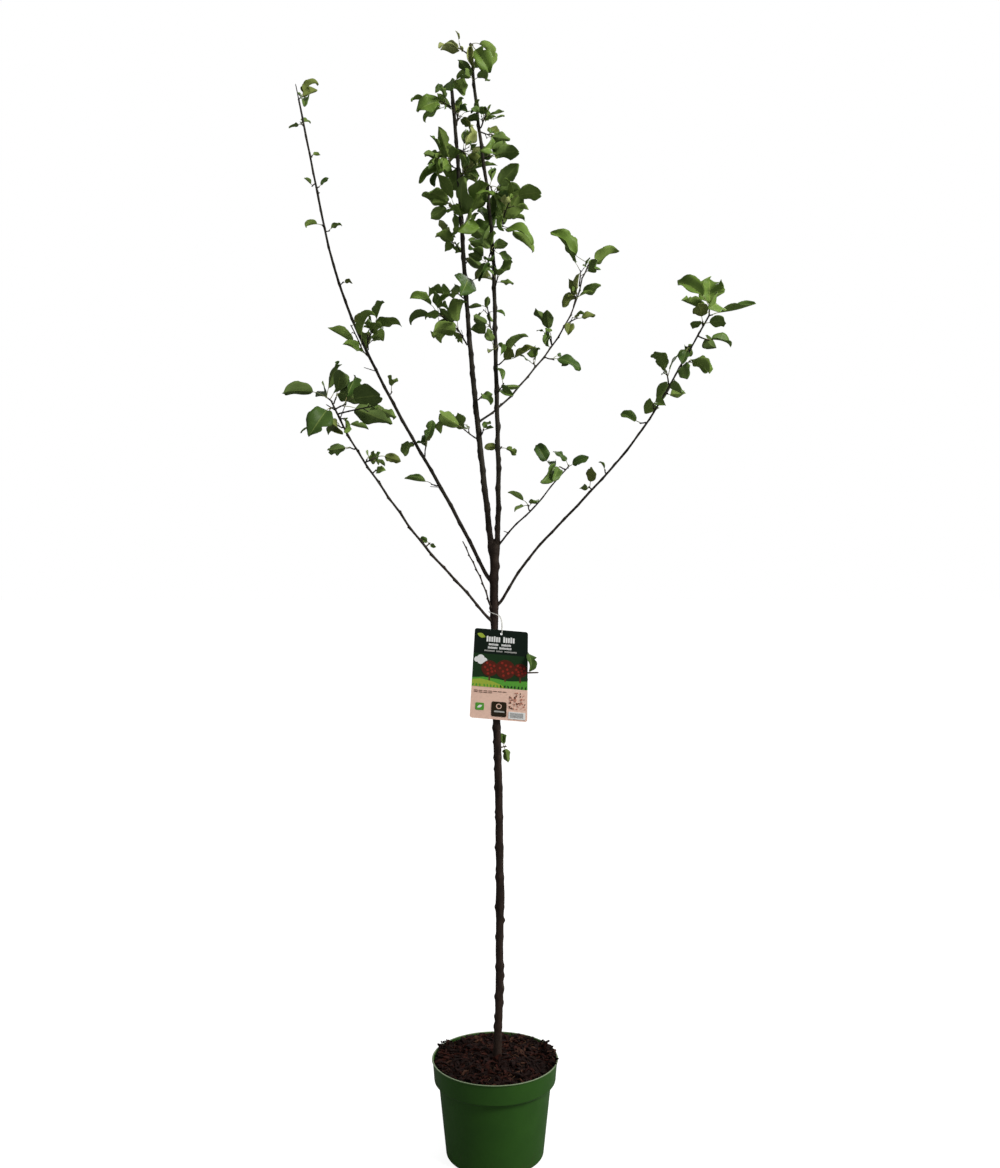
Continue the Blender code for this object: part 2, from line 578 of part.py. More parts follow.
def blade_point(leaf, part, side):
    """A point on a folded and curled blade that lies along +X. Side -1, 0 and 1 are its right
    edge, midrib and left edge."""
    bend = leaf.curl * part
    if abs(leaf.curl) < 0.001:
        along, drop = leaf.length * part, 0.0
    else:
        along = leaf.length * sin(bend) / leaf.curl
        drop = leaf.length * (1 - cos(bend)) / leaf.curl
    reach = side * leaf.width / 2 * half_width(part)
    lift = abs(reach) * sin(leaf.fold)
    return Vector((along + lift * sin(bend), reach * cos(leaf.fold), lift * cos(bend) - drop))


def blade_frame(leaf):
    """Takes a blade that lies along +X, upper face to +Z, to its place."""
    normal = across(leaf.direction, off_axis(leaf.direction))
    normal.rotate(Matrix.Rotation(leaf.roll, 3, leaf.direction))
    frame = Matrix((leaf.direction, normal.cross(leaf.direction), normal)).transposed().to_4x4()
    frame.translation = leaf.base
    return frame


def deal_leaves(twig, root, direction):
    """The leaves of one twig, dealt round it by the golden turn from its tip down."""
    dice = Random(twig.seed)
    phase = dice.uniform(0, 2 * pi)
    sideways = across(direction, off_axis(direction))
    dealt = []
    for index in range(twig.leaves):
        along = 1 - index * LEAFY_SHARE / max(twig.leaves, 2) * dice.uniform(*LEAF_SPACING)
        turn = phase + index * radians(GOLDEN_TURN) + dice.uniform(*LEAF_TURN)
        spread = radians(dice.uniform(*LEAF_SPREAD))
        outward = sideways.copy()
        outward.rotate(Matrix.Rotation(turn, 3, direction))
        heading = (direction * cos(spread) + outward * sin(spread)).normalized()
        size = twig.leaf * dice.uniform(*LEAF_SIZE)
        stalk = size * dice.uniform(*LEAF_STALK)
        droop = dice.uniform(*LEAF_DROOP)
        start = root + direction * twig.reach * along
        base = start + heading * stalk
        blade = (heading - Vector((0, 0, 1)) * droop).normalized()
        roll = radians(dice.uniform(*LEAF_ROLL))
        width = size * dice.uniform(*LEAF_WIDTH)
        fold = radians(dice.uniform(*LEAF_FOLD))
        curl = radians(dice.uniform(*LEAF_CURL))
        dealt.append(Leaf(start, base, blade, roll, size, width, fold, curl))
    return dealt


def leaf_solid(leaf, direction, thickness=BLADE_THICKNESS):
    """Corners and faces of a leaf: a three-sided stalk that starts inside its twig and opens into
    a blade, thickest along its midrib and sharp at its edge."""
    frame = blade_frame(leaf)
    sunk = leaf.start - direction * STALK_RADIUS
    along = (leaf.base - sunk).normalized()
    upward = across(along, frame.to_3x3() @ Vector((0, 0, 1)))
    sideways = upward.cross(along)
    verts = []
    for middle in (sunk, leaf.base):
        for turn in (pi / 2, -pi / 6, -5 * pi / 6):
            verts.append(middle + (sideways * cos(turn) + upward * sin(turn)) * STALK_RADIUS)
    half = Vector((0, 0, leaf.length * thickness / 2))
    for part in BLADE_STATIONS:
        middle = blade_point(leaf, part, 0)
        ring = (blade_point(leaf, part, -1), middle + half, blade_point(leaf, part, 1), middle - half)
        verts += [frame @ corner for corner in ring]
    verts.append(frame @ blade_point(leaf, 1, 0))
    tip = len(verts) - 1
    faces = [(2, 1, 0)]
    for low, high in ((0, 1), (1, 2), (2, 0)):
        faces.append((low, high, high + 3, low + 3))
    # the stalk's three corners open into the first station's right edge, top, left edge and bottom
    faces += [(3, 6, 7), (3, 7, 8), (3, 8, 4), (4, 8, 9), (4, 9, 5), (5, 9, 6), (5, 6, 3)]
    for side in range(4):
        after = (side + 1) % 4
        for low in range(6, tip - 4, 4):
            faces.append((low + side, low + after, low + 4 + after))
            faces.append((low + side, low + 4 + after, low + 4 + side))
        faces.append((tip - 4 + side, tip - 4 + after, tip))
    return verts, faces


def twig_foot(twig, carrier, direction):
    """Where a twig leaves its limb: a point clear of the limb, one further out, and the way out."""
    outward = across(carrier.direction(twig.part), direction)
    surface = carrier.centre(twig.part) + outward * (carrier.radius(twig.part) + GAP)
    return surface, surface + outward * TWIG_COLLAR, outward


def grow_twig(twig, lines, roots):
    """One twig's direction, its stem's solid and its leaves."""
    direction = leaning(twig.heading, twig.lean)
    if twig.on in roots:
        parent_root, parent_direction, parent_reach = roots[twig.on]
        root = parent_root + parent_direction * parent_reach * twig.part
        points = [root, root + direction * max(twig.reach, 2 * TWIG_RADIUS)]
        first = direction
    elif twig.part >= 1:
        root = lines[twig.on].centre(1)
        points = [root - direction * TWIG_RADIUS, root + direction * max(twig.reach, 2 * TWIG_RADIUS)]
        first = direction
    else:
        carrier = lines[twig.on]
        surface, root, first = twig_foot(twig, carrier, direction)
        fused = twig.part >= carrier.bare
        points = [carrier.centre(twig.part) if fused else surface, root, root + direction * twig.reach]
    radii = [TWIG_RADIUS] * (len(points) - 1) + [TWIG_TIP_RADIUS]
    roots[twig.name] = (root, direction, twig.reach)
    return direction, tube(points, radii, TWIG_SIDES, start=first), deal_leaves(twig, root, direction)


def mass_of(twig, lines, masses):
    """The foliage mass that a twig belongs to."""
    if twig.on in masses:
        return masses[twig.on]
    if twig.part >= lines[twig.on].bare:
        return "leaves_" + twig.on + "_tip"
    return "leaves_" + twig.name


def tree_of(solid):
    return BVHTree.FromPolygons(solid[0], solid[1])


def touches(solid, taken):
    tree = tree_of(solid)
    return any(tree.overlap(other) for other in taken)


def tip_stem(line, plan):
    """The outer end of a limb, which is the stem of its last spray."""
    start = line.bare + GAP / line.length
    parts = rings_of(line, start, 1.0, plan.bud_gap)
    points = [line.centre(part) for part in parts]
    radii = [line.radius(part) for part in parts]
    return tube(points, radii, LIMB_SIDES, start=line.direction(line.bare))


def grow_masses(lines, feet):
    """The solids of every foliage mass by name. A twig or leaf that would touch a limb or
    another mass is skipped."""
    limbs = {}
    for name, plan in LIMBS.items():
        limbs[name] = tree_of(limb_tube(lines[name], feet[name], plan, end=plan.bare))
    solids = {}
    stems = {}
    for name, plan in LIMBS.items():
        if plan.bare < 1:
            mass = "leaves_" + name + "_tip"
            stem = tip_stem(lines[name], plan)
            solids[mass] = [stem]
            stems[mass] = tree_of(stem)
    roots = {}
    masses = {}
    taken = {}
    for twig in TWIGS:
        mass = mass_of(twig, lines, masses)
        masses[twig.name] = mass
        direction, stem, leaves = grow_twig(twig, lines, roots)
        others = list(limbs.values())
        others += [tree for other, tree in stems.items() if other != mass]
        others += [tree for other, trees in taken.items() if other != mass for tree in trees]
        if touches(stem, others):
            continue
        grown = [stem]
        for leaf in leaves:
            solid = leaf_solid(leaf, direction)
            if not touches(solid, others):
                grown.append(solid)
        solids.setdefault(mass, []).extend(grown)
        taken.setdefault(mass, []).extend(tree_of(solid) for solid in grown)
    return solids


def keep_largest(mesh):
    """Drops loose scraps and any skin sealed inside, and keeps the body with the most corners."""
    shape = bmesh.new()
    shape.from_mesh(mesh)
    waiting = set(shape.verts)
    bodies = []
    while waiting:
        body = [waiting.pop()]
        for vert in body:
            near = {edge.other_vert(vert) for edge in vert.link_edges} & waiting
            waiting -= near
            body.extend(near)
        bodies.append(body)
    bodies.sort(key=len)
    for body in bodies[:-1]:
        bmesh.ops.delete(shape, geom=body, context="VERTS")
    shape.to_mesh(mesh)
    shape.free()


def fuse(name, solids, material):
    """One solid from many that overlap."""
    target = object_from(name, *solids[0], material)
    gathered = bpy.data.collections.new(name + " pieces")
    bpy.context.scene.collection.children.link(gathered)
    for verts, faces in solids[1:]:
        piece = object_from("piece", verts, faces)
        bpy.context.scene.collection.objects.unlink(piece)
        gathered.objects.link(piece)
    apply_boolean(target, "UNION", collection=gathered)
    for piece in list(gathered.objects):
        bpy.data.objects.remove(piece)
    bpy.data.collections.remove(gathered)
    keep_largest(target.data)
    return target


def make_masses(lines, feet, material):
    return [fuse(name, solids, material) for name, solids in grow_masses(lines, feet).items()]


# ---- tag ----


def tag_outline():
    """Points round the tag, which widens a little towards its foot, its corners rounded."""
    corners = []
    for middle, width, sides in ((TAG_FOOT, TAG_FOOT_WIDTH, (-1, 1)), (TAG_TOP, TAG_TOP_WIDTH, (1, -1))):
        for side in sides:
            corners.append(Vector((middle[0] + side * width / 2, middle[2])))
    outline = []
    for place, corner in enumerate(corners):
        before = (corners[place - 1] - corner).normalized()
        after = (corners[(place + 1) % 4] - corner).normalized()
        centre = corner + (before + after) * TAG_CORNER
        start = atan2(*(-after).yx)
        for step in range(TAG_CORNER_STEPS + 1):
            turn = start + pi / 2 * step / TAG_CORNER_STEPS
            outline.append(centre + Vector((cos(turn), sin(turn))) * TAG_CORNER)
    return outline


def make_tag():
    outline = tag_outline()
    count = len(outline)
    verts = []
    for depth in (-TAG_THICKNESS / 2, TAG_THICKNESS / 2):
        for point in outline:
            dip = (point.x - TAG_TOP[0]) * TAG_SLOPE
            verts.append(Vector((point.x, TAG_TOP[1] + depth, point.y - dip)))
    faces = [tuple(range(count)), tuple(range(count, 2 * count))]
    for low in range(count):
        high = (low + 1) % count
        faces.append((low, high, high + count, low + count))
    tag = object_from("tag", verts, faces, material_for("tag card", (0.02, 0.03, 0.015), 0.4))
    lean = (TAG_TOP[0] - TAG_FOOT[0]) / (TAG_TOP[2] - TAG_FOOT[2])
    hole = Vector((TAG_TOP[0] - TAG_HOLE_DROP * lean, TAG_TOP[1], TAG_TOP[2] - TAG_HOLE_DROP))
    ends = [hole - Vector((0, 0.002, 0)), hole + Vector((0, 0.002, 0))]
    cutter = object_from("hole cutter", *tube(ends, [TAG_HOLE_RADIUS] * 2, 16))
    apply_boolean(tag, "DIFFERENCE", cutter=cutter)
    bpy.data.objects.remove(cutter)
    return tag


def smooth_loop(route, count):
    """Points evenly spaced in parameter on a smooth closed curve through the route."""
    points = [Vector(point) for point in route]
    total = len(points)
    smooth = []
    for step in range(count):
        place = step / count * total
        low = int(place)
        t = place - low
        a, b, c, d = (points[(low + shift) % total] for shift in (-1, 0, 1, 2))
        smooth.append(
            0.5 * (2 * b + (c - a) * t + (2 * a - 5 * b + 4 * c - d) * t**2 + (3 * b - a - 3 * c + d) * t**3)
        )
    return smooth


def make_string():
    curve = bpy.data.curves.new("tag_string", "CURVE")
    curve.dimensions = "3D"
    curve.bevel_depth = STRING_RADIUS
    curve.bevel_resolution = 1
    spline = curve.splines.new("POLY")
    points = smooth_loop(STRING_ROUTE, STRING_POINTS)
    spline.points.add(len(points) - 1)
    for corner, point in zip(spline.points, points):
        corner.co = (*point, 1)
    spline.use_cyclic_u = True
    curve.materials.append(material_for("string white", (0.75, 0.75, 0.72), 0.8))
    thing = bpy.data.objects.new("tag_string", curve)
    bpy.context.scene.collection.objects.link(thing)
    return thing


def main():
    for thing in list(bpy.data.objects):
        bpy.data.objects.remove(thing)
    trunk = trunk_line()
    lines, feet = limb_lines(trunk)
    bark = material_for("bark", (0.035, 0.025, 0.02), 0.85)
    leaf = material_for("leaf green", (0.06, 0.16, 0.03), 0.55)
    make_pot()
    make_root_ball()
    make_limbs(lines, feet, bark)
    make_masses(lines, feet, leaf)
    make_tag()
    make_string()


if __name__ == "__main__":
    main()
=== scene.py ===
import json
from collections import namedtuple
from itertools import product
from math import atan2, cos, degrees, exp, pi, radians, sin, sqrt
from random import Random

import bmesh
import bpy
from mathutils import Matrix, Vector, noise

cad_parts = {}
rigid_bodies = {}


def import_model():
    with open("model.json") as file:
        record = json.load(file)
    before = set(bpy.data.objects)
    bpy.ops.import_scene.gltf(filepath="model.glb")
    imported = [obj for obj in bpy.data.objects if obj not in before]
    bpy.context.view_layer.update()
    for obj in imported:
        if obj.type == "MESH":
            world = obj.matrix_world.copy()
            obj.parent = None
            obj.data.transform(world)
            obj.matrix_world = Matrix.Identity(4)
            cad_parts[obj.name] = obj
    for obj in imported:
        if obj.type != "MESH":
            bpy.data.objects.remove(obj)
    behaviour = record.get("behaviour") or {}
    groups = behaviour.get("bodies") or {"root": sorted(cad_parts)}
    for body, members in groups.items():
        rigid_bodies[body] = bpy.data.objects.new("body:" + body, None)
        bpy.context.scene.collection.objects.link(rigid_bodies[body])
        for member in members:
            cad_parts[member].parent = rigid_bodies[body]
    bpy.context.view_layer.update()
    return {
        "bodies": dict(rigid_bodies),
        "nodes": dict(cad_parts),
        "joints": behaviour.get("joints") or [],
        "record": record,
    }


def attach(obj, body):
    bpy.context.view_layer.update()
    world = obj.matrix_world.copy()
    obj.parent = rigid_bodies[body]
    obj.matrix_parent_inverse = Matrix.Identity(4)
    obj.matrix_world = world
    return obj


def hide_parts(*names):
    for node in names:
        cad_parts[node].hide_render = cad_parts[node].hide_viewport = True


# A young fruit tree in a nursery pot: bark, twigs, leaves, soil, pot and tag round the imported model.
# Metres and degrees, +Z up. The origin is the middle of the pot's flat underside, and -Y is the front.

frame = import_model()

BODY = "root"
UP = Vector((0, 0, 1))

# ---- camera ----

EYE = (0.00833, -1.816, 0.945)
FOCAL_PIXELS = 1090.0
PICTURE_HEIGHT = 1168.0  # in pixels, as the focal length is
SENSOR = 36.0  # millimetres
CLIP_END = 200

# ---- pot and soil ----

POT_SIDES = 160
POT_HEIGHT = 0.157
POT_WALL = 0.0013
POT_FLOOR = 0.0016
BASE_RADIUS = 0.0812
BASE_EDGE = 0.0035
BODY_TOP_RADIUS = 0.0935
BODY_TOP = 0.119
COLLAR_RADIUS = 0.101
COLLAR_FOOT = 0.123
COLLAR_TOP_RADIUS = 0.1035
LIP_RADIUS = 0.105
LIP_HEIGHT = 0.0018
DRAINS = 6
DRAIN_WIDTH = 0.011
DRAIN_HEIGHT = 0.006
DRAIN_SPRING = 0.0027
DRAIN_BELOW = 0.004
DRAIN_INNER = 0.062
DRAIN_TURN = 57
DRAIN_ARCH_STEPS = 10

SOIL_CLEARANCE = 0.0006
SOIL_TOP = 0.1577
SOIL_AT_WALL = 0.1475
SOIL_FLAT_RADIUS = 0.013
GAP = 0.0003

# ---- trunk, limbs and twigs ----

TRUNK_FOOT_X = 0.0033
TRUNK_LENGTH = 0.8465
TRUNK_RADIUS = 0.0064
ROOT_FLARE = 0.0024
ROOT_FLARE_HEIGHT = 0.03
FORK_SWELL = 0.0031
FORK_SWELL_HEIGHT = 0.035
FORK_SPREAD = 0.0047
TRUNK_LEANS = (-2.7, -0.2, 0.2, 2.0, 1.1, -0.6)
TRUNK_BUD_GAP = 0.05
SWAY = (0.5, 1.2)  # share of a limb's own sway, at one bud
TWIG_RADIUS = 0.0011
TWIG_COLLAR = 0.0015  # a twig's first stretch, square to what carries it
WALK_STEPS = 120  # of a limb's centre line

# how leaves are dealt round a twig: each is a lowest and a highest value
GOLDEN_TURN = 137.5
LEAFY_SHARE = 0.75  # share of the twig, from its tip, that leaves spread over
LEAF_SPACING = (0.6, 1.2)
LEAF_TURN = (-0.5, 0.5)  # radians either side of the golden turn
LEAF_SPREAD = (15, 95)  # from the twig's direction
LEAF_SIZE = (0.75, 1.15)  # share of the twig's own leaf length
LEAF_STALK = (0.25, 0.5)  # share of the leaf, as its width is
LEAF_DROOP = (-0.2, 0.6)
LEAF_ROLL = (-70, 70)
LEAF_WIDTH = (0.5, 0.72)
LEAF_FOLD = (8, 50)
LEAF_CURL = (-25, 75)

# A limb grows from a foot on its parent, leaning from the vertical towards its heading
# (0 is +X, 90 is +Y). The lean passes evenly through the values given, foot to tip. The limb
# steps sideways by its sway at each bud. "bare" is the share of it that is a limb of its own:
# past that it is the stem of its last spray.
LimbPlan = namedtuple(
    "LimbPlan", "parent height collar heading leans length foot tip sway bud_gap seed bare"
)
LIMBS = {
    "leader_left": LimbPlan("trunk", None, 0, 165, (6.9, 6.4, 4.6, 3.2, 5.8), 0.785, 0.0049,
                            0.0027, 0.0006, 0.033, 2, 0.893),
    "leader_right": LimbPlan("trunk", None, 0, 205, (-2.2, 2.0, 0.9, 8.9, 5.5), 0.833, 0.0042,
                             0.0023, 0.0006, 0.033, 3, 0.82),
    "bough_low_left": LimbPlan("trunk", 0.8878, 0.005, 208, (41, 47, 38, 37, 25), 0.437, 0.00225,
                               0.0015, 0.0007, 0.03, 4, 0.65),
    "bough_long_left": LimbPlan("trunk", 0.9546, 0.005, 155, (28, 33, 28, 13, 13), 0.96, 0.0032,
                                0.0017, 0.0008, 0.035, 5, 0.63),
    "bough_right": LimbPlan("trunk", 0.9134, 0.005, 335, (29, 47, 45, 32, 31), 0.567, 0.0023,
                            0.0013, 0.0007, 0.03, 6, 0.63),
    "bough_short_right": LimbPlan("leader_right", 1.014, 0.003, 322, (42, 57, 44, 52), 0.178,
                                  0.0015, 0.001, 0.0005, 0.022, 7, 0.7),
    "bough_high_right": LimbPlan("leader_left", 1.2197, 0.003, 35, (60, 44, 42, 32, 13), 0.357,
                                 0.0018, 0.0012, 0.0006, 0.026, 8, 0.55),
    "bare_twig": LimbPlan("trunk", 0.9066, 0.0025, 225, (19, 34, 34), 0.125, 0.0014, 0.0009,
                          0.0004, 0.014, 9, 1.0),
}

# A twig grows on a limb, or on another twig, part of the way along it. It reaches out towards its
# heading and carries leaves of about one length, dealt round it by its seed.
Twig = namedtuple("Twig", "name on part heading lean reach leaves leaf seed")
# what carries them, then for each: name, part, heading, lean, reach, leaves, length of a leaf, seed.
# A limb comes again after sprays that grow on one of its twigs, and again where rows fill gaps.
TWIG_GROUPS = (
    ("bough_low_left", (
        ("low_left_1", 0.372, 30, 45, 0.004, 2, 0.016, 970),
        ("low_left_2", 0.708, 355, 40, 0.002, 1, 0.023, 107),
        ("low_left_3", 0.755, 30, 65, 0.02, 3, 0.025, 96),
        ("low_left_4", 0.815, 165, 70, 0.007, 2, 0.038, 596),
        ("low_left_5", 0.902, 200, 60, 0.004, 2, 0.034, 631),
        ("low_left_6", 0.97, 355, 65, 0.013, 3, 0.061, 549),
        ("low_left_7", 0.978, 200, 110, 0.002, 2, 0.052, 47),
        ("low_left_8", 1.0, 135, 60, 0.015, 4, 0.065, 103),
        ("low_left_9", 0.99, 60, 25, 0.009, 2, 0.06, 357),
    )),
    ("bough_long_left", (
        ("long_left_1", 0.193, 145, 75, 0.011, 1, 0.035, 500),
        ("long_left_2", 0.253, 90, 35, 0.022, 2, 0.047, 629),
        ("long_left_3", 0.28, 210, 60, 0.004, 1, 0.035, 167),
        ("long_left_4", 0.39, 45, 35, 0.002, 1, 0.035, 991),
        ("long_left_5", 0.472, 225, 55, 0.019, 3, 0.054, 842),
        ("long_left_6", 0.487, 105, 20, 0.029, 4, 0.058, 636),
        ("long_left_7", 0.627, 0, 40, 0.002, 1, 0.015, 554),
        ("long_left_8", 0.735, 40, 65, 0.003, 1, 0.027, 845),
        ("long_left_9", 0.743, 245, 65, 0.002, 1, 0.024, 940),
        ("long_left_10", 0.823, 60, 50, 0.002, 1, 0.02, 89),
        ("long_left_11", 0.83, 160, 125, 0.002, 1, 0.021, 720),
        ("long_left_12", 0.885, 70, 35, 0.002, 1, 0.014, 448),
        ("long_left_13", 0.948, 125, 50, 0.011, 2, 0.021, 411),
        ("long_left_14", 1.0, 345, 60, 0.006, 3, 0.046, 215),
    )),
    ("bough_right", (
        ("right_1", 0.43, 135, 50, 0.002, 2, 0.032, 930),
        ("right_2", 0.492, 240, 0, 0.002, 1, 0.013, 814),
        ("right_3", 0.67, 140, 95, 0.007, 1, 0.028, 564),
        ("right_4", 0.715, 175, 5, 0.004, 2, 0.037, 976),
        ("right_5", 0.762, 0, 35, 0.014, 2, 0.05, 923),
        ("right_6", 0.792, 150, 10, 0.018, 3, 0.037, 909),
        ("right_7", 0.85, 335, 60, 0.012, 3, 0.036, 775),
        ("right_8", 0.905, 160, 105, 0.003, 2, 0.037, 745),
        ("right_9", 0.94, 20, 105, 0.015, 2, 0.044, 753),
        ("right_10", 0.97, 315, 25, 0.002, 2, 0.032, 126),
        ("right_11", 1.0, 270, 15, 0.012, 4, 0.056, 886),
    )),
    ("bough_short_right", (
        ("short_right_1", 0.445, 240, 25, 0.006, 3, 0.026, 88),
        ("short_right_2", 0.868, 195, 30, 0.015, 3, 0.045, 235),
        ("short_right_3", 1.0, 35, 25, 0.002, 2, 0.033, 266),
    )),
    ("bough_high_right", (
        ("high_right_1", 0.435, 165, 25, 0.002, 3, 0.027, 816),
        ("high_right_2", 0.51, 5, 105, 0.012, 2, 0.044, 612),
        ("high_right_3", 0.588, 230, 30, 0.021, 3, 0.036, 760),
        ("high_right_4", 0.728, 325, 70, 0.022, 3, 0.024, 529),
        ("high_right_5", 0.838, 345, 15, 0.021, 4, 0.028, 861),
        ("high_right_6", 0.89, 75, 55, 0.006, 1, 0.033, 915),
        ("high_right_7", 1.0, 50, 35, 0.038, 2, 0.068, 124),
    )),
    ("leader_left", (
        ("leader_left_1", 0.237, 195, 55, 0.029, 3, 0.058, 985),
        ("leader_left_2", 0.242, 310, 35, 0.008, 2, 0.019, 821),
        ("leader_left_3", 0.318, 25, 40, 0.006, 2, 0.037, 375),
        ("leader_left_4", 0.438, 160, 30, 0.031, 3, 0.057, 762),
    )),
    ("leader_left_4", (("leader_left_4b", 0.9, 185, 50, 0.051, 2, 0.039, 413),)),
    ("leader_left", (
        ("leader_left_5", 0.537, 205, 55, 0.011, 2, 0.066, 418),
        ("leader_left_6", 0.568, 315, 95, 0.006, 2, 0.064, 466),
        ("leader_left_7", 0.615, 55, 50, 0.004, 2, 0.044, 576),
        ("leader_left_8", 0.64, 145, 35, 0.019, 2, 0.043, 199),
        ("leader_left_9", 0.68, 295, 40, 0.013, 3, 0.059, 666),
        ("leader_left_10", 0.725, 185, 45, 0.011, 3, 0.048, 909),
        ("leader_left_11", 0.818, 180, 60, 0.011, 4, 0.046, 832),
        ("leader_left_12", 0.858, 25, 110, 0.01, 3, 0.047, 600),
        ("leader_left_13", 0.912, 65, 10, 0.019, 2, 0.018, 810),
        ("leader_left_14", 0.948, 230, 90, 0.024, 4, 0.044, 21),
        ("leader_left_15", 1.0, 340, 30, 0.003, 3, 0.036, 775),
    )),
    ("leader_right", (
        ("leader_right_1", 0.198, 70, 65, 0.013, 2, 0.022, 331),
        ("leader_right_2", 0.312, 310, 45, 0.015, 3, 0.031, 394),
        ("leader_right_3", 0.367, 340, 55, 0.012, 3, 0.042, 709),
        ("leader_right_4", 0.393, 255, 60, 0.008, 4, 0.029, 956),
        ("leader_right_5", 0.438, 180, 35, 0.006, 2, 0.036, 107),
        ("leader_right_6", 0.52, 290, 45, 0.017, 3, 0.03, 185),
        ("leader_right_7", 0.56, 210, 65, 0.009, 3, 0.035, 738),
        ("leader_right_8", 0.615, 230, 30, 0.002, 2, 0.068, 213),
        ("leader_right_9", 0.64, 335, 95, 0.015, 3, 0.056, 791),
    )),
    ("leader_right_9", (("leader_right_9b", 0.8, 295, 50, 0.048, 2, 0.05, 220),)),
    ("leader_right", (
        ("leader_right_10", 0.703, 325, 70, 0.005, 3, 0.043, 149),
        ("leader_right_11", 0.777, 345, 65, 0.005, 3, 0.05, 297),
        ("leader_right_12", 0.835, 310, 35, 0.021, 3, 0.021, 618),
        ("leader_right_13", 0.915, 245, 15, 0.01, 3, 0.037, 898),
        ("leader_right_14", 1.0, 5, 115, 0.002, 4, 0.047, 650),
        ("leader_right_15", 0.978, 190, 60, 0.018, 2, 0.037, 614),
    )),
    ("trunk", (
        ("trunk_1", 0.78, 10, 70, 0.047, 2, 0.034, 41),
        ("trunk_2", 0.608, 20, 80, 0.004, 2, 0.024, 130),
    )),
    ("bough_low_left", (
        ("low_left_10", 0.93, 335, 85, 0.003, 2, 0.035, 613),
        ("low_left_12", 0.95, 350, 80, 0.06, 1, 0.024, 865),
        ("low_left_13", 0.755, 70, 40, 0.003, 1, 0.036, 519),
    )),
    ("long_left_5", (("long_left_5b", 0.8, 175, 25, 0.047, 1, 0.03, 930),)),
    ("long_left_6", (("long_left_6b", 0.6, 300, 55, 0.041, 1, 0.034, 15),)),
    ("bough_right", (
        ("right_12", 1.0, 35, 75, 0.005, 1, 0.062, 117),
        ("right_13", 0.97, 70, 35, 0.003, 1, 0.041, 458),
        ("right_14", 0.762, 30, 60, 0.003, 1, 0.032, 693),
    )),
    ("bough_short_right", (("short_right_4", 0.97, 210, 70, 0.007, 1, 0.03, 782),)),
    ("bough_high_right", (
        ("high_right_8", 0.958, 65, 15, 0.028, 2, 0.047, 202),
        ("high_right_9", 0.588, 260, 45, 0.013, 1, 0.035, 742),
    )),
    ("leader_left_4", (
        ("leader_left_4c", 0.3, 120, 30, 0.009, 1, 0.036, 775),
        ("leader_left_4d", 0.9, 235, 55, 0.005, 1, 0.034, 604),
    )),
    ("leader_left_9", (("leader_left_9b", 0.8, 25, 125, 0.003, 2, 0.054, 350),)),
    ("leader_left_11", (("leader_left_11b", 0.5, 190, 75, 0.015, 2, 0.03, 614),)),
    ("leader_left_12", (("leader_left_12b", 0.7, 305, 20, 0.003, 1, 0.047, 479),)),
    ("leader_left", (
        ("leader_left_16", 0.8, 45, 35, 0.013, 4, 0.053, 762),
        ("leader_left_17", 0.988, 175, 70, 0.009, 1, 0.028, 832),
    )),
    ("leader_right_5", (("leader_right_5b", 0.7, 120, 15, 0.035, 1, 0.029, 264),)),
    ("leader_right_7", (("leader_right_7b", 0.9, 290, 45, 0.027, 1, 0.03, 970),)),
    ("leader_right", (
        ("leader_right_16", 0.723, 35, 115, 0.003, 4, 0.049, 588),
        ("leader_right_17", 0.828, 35, 95, 0.013, 1, 0.042, 228),
    )),
)
TWIGS = [Twig(name, on, *rest) for on, rows in TWIG_GROUPS for name, *rest in rows]


# ---- the growing rule, as the solids have it ----


def leaning(heading, lean):
    """Unit vector that leans from the vertical towards a heading."""
    turn = radians(heading)
    tilt = radians(lean)
    return Vector((sin(tilt) * cos(turn), sin(tilt) * sin(turn), cos(tilt)))


def between(values, part):
    """Value at a part, 0 to 1, of the way along evenly spaced values."""
    place = min(max(part, 0.0), 1.0) * (len(values) - 1)
    low = min(int(place), len(values) - 2)
    return values[low] + (values[low + 1] - values[low]) * (place - low)


def off_axis(axis):
    """A direction that is never along the axis: up, or +X for an axis that is nearly upright."""
    return UP.copy() if abs(axis.z) < 0.97 else Vector((1, 0, 0))


def across(axis, towards):
    """Unit vector square to an axis, on the side of another vector."""
    return (towards - axis * towards.dot(axis)).normalized()


def ramp(value, low, high):
    """0 below low, 1 above high, and smooth between."""
    part = min(max((value - low) / (high - low), 0.0), 1.0)
    return part * part * (3 - 2 * part)


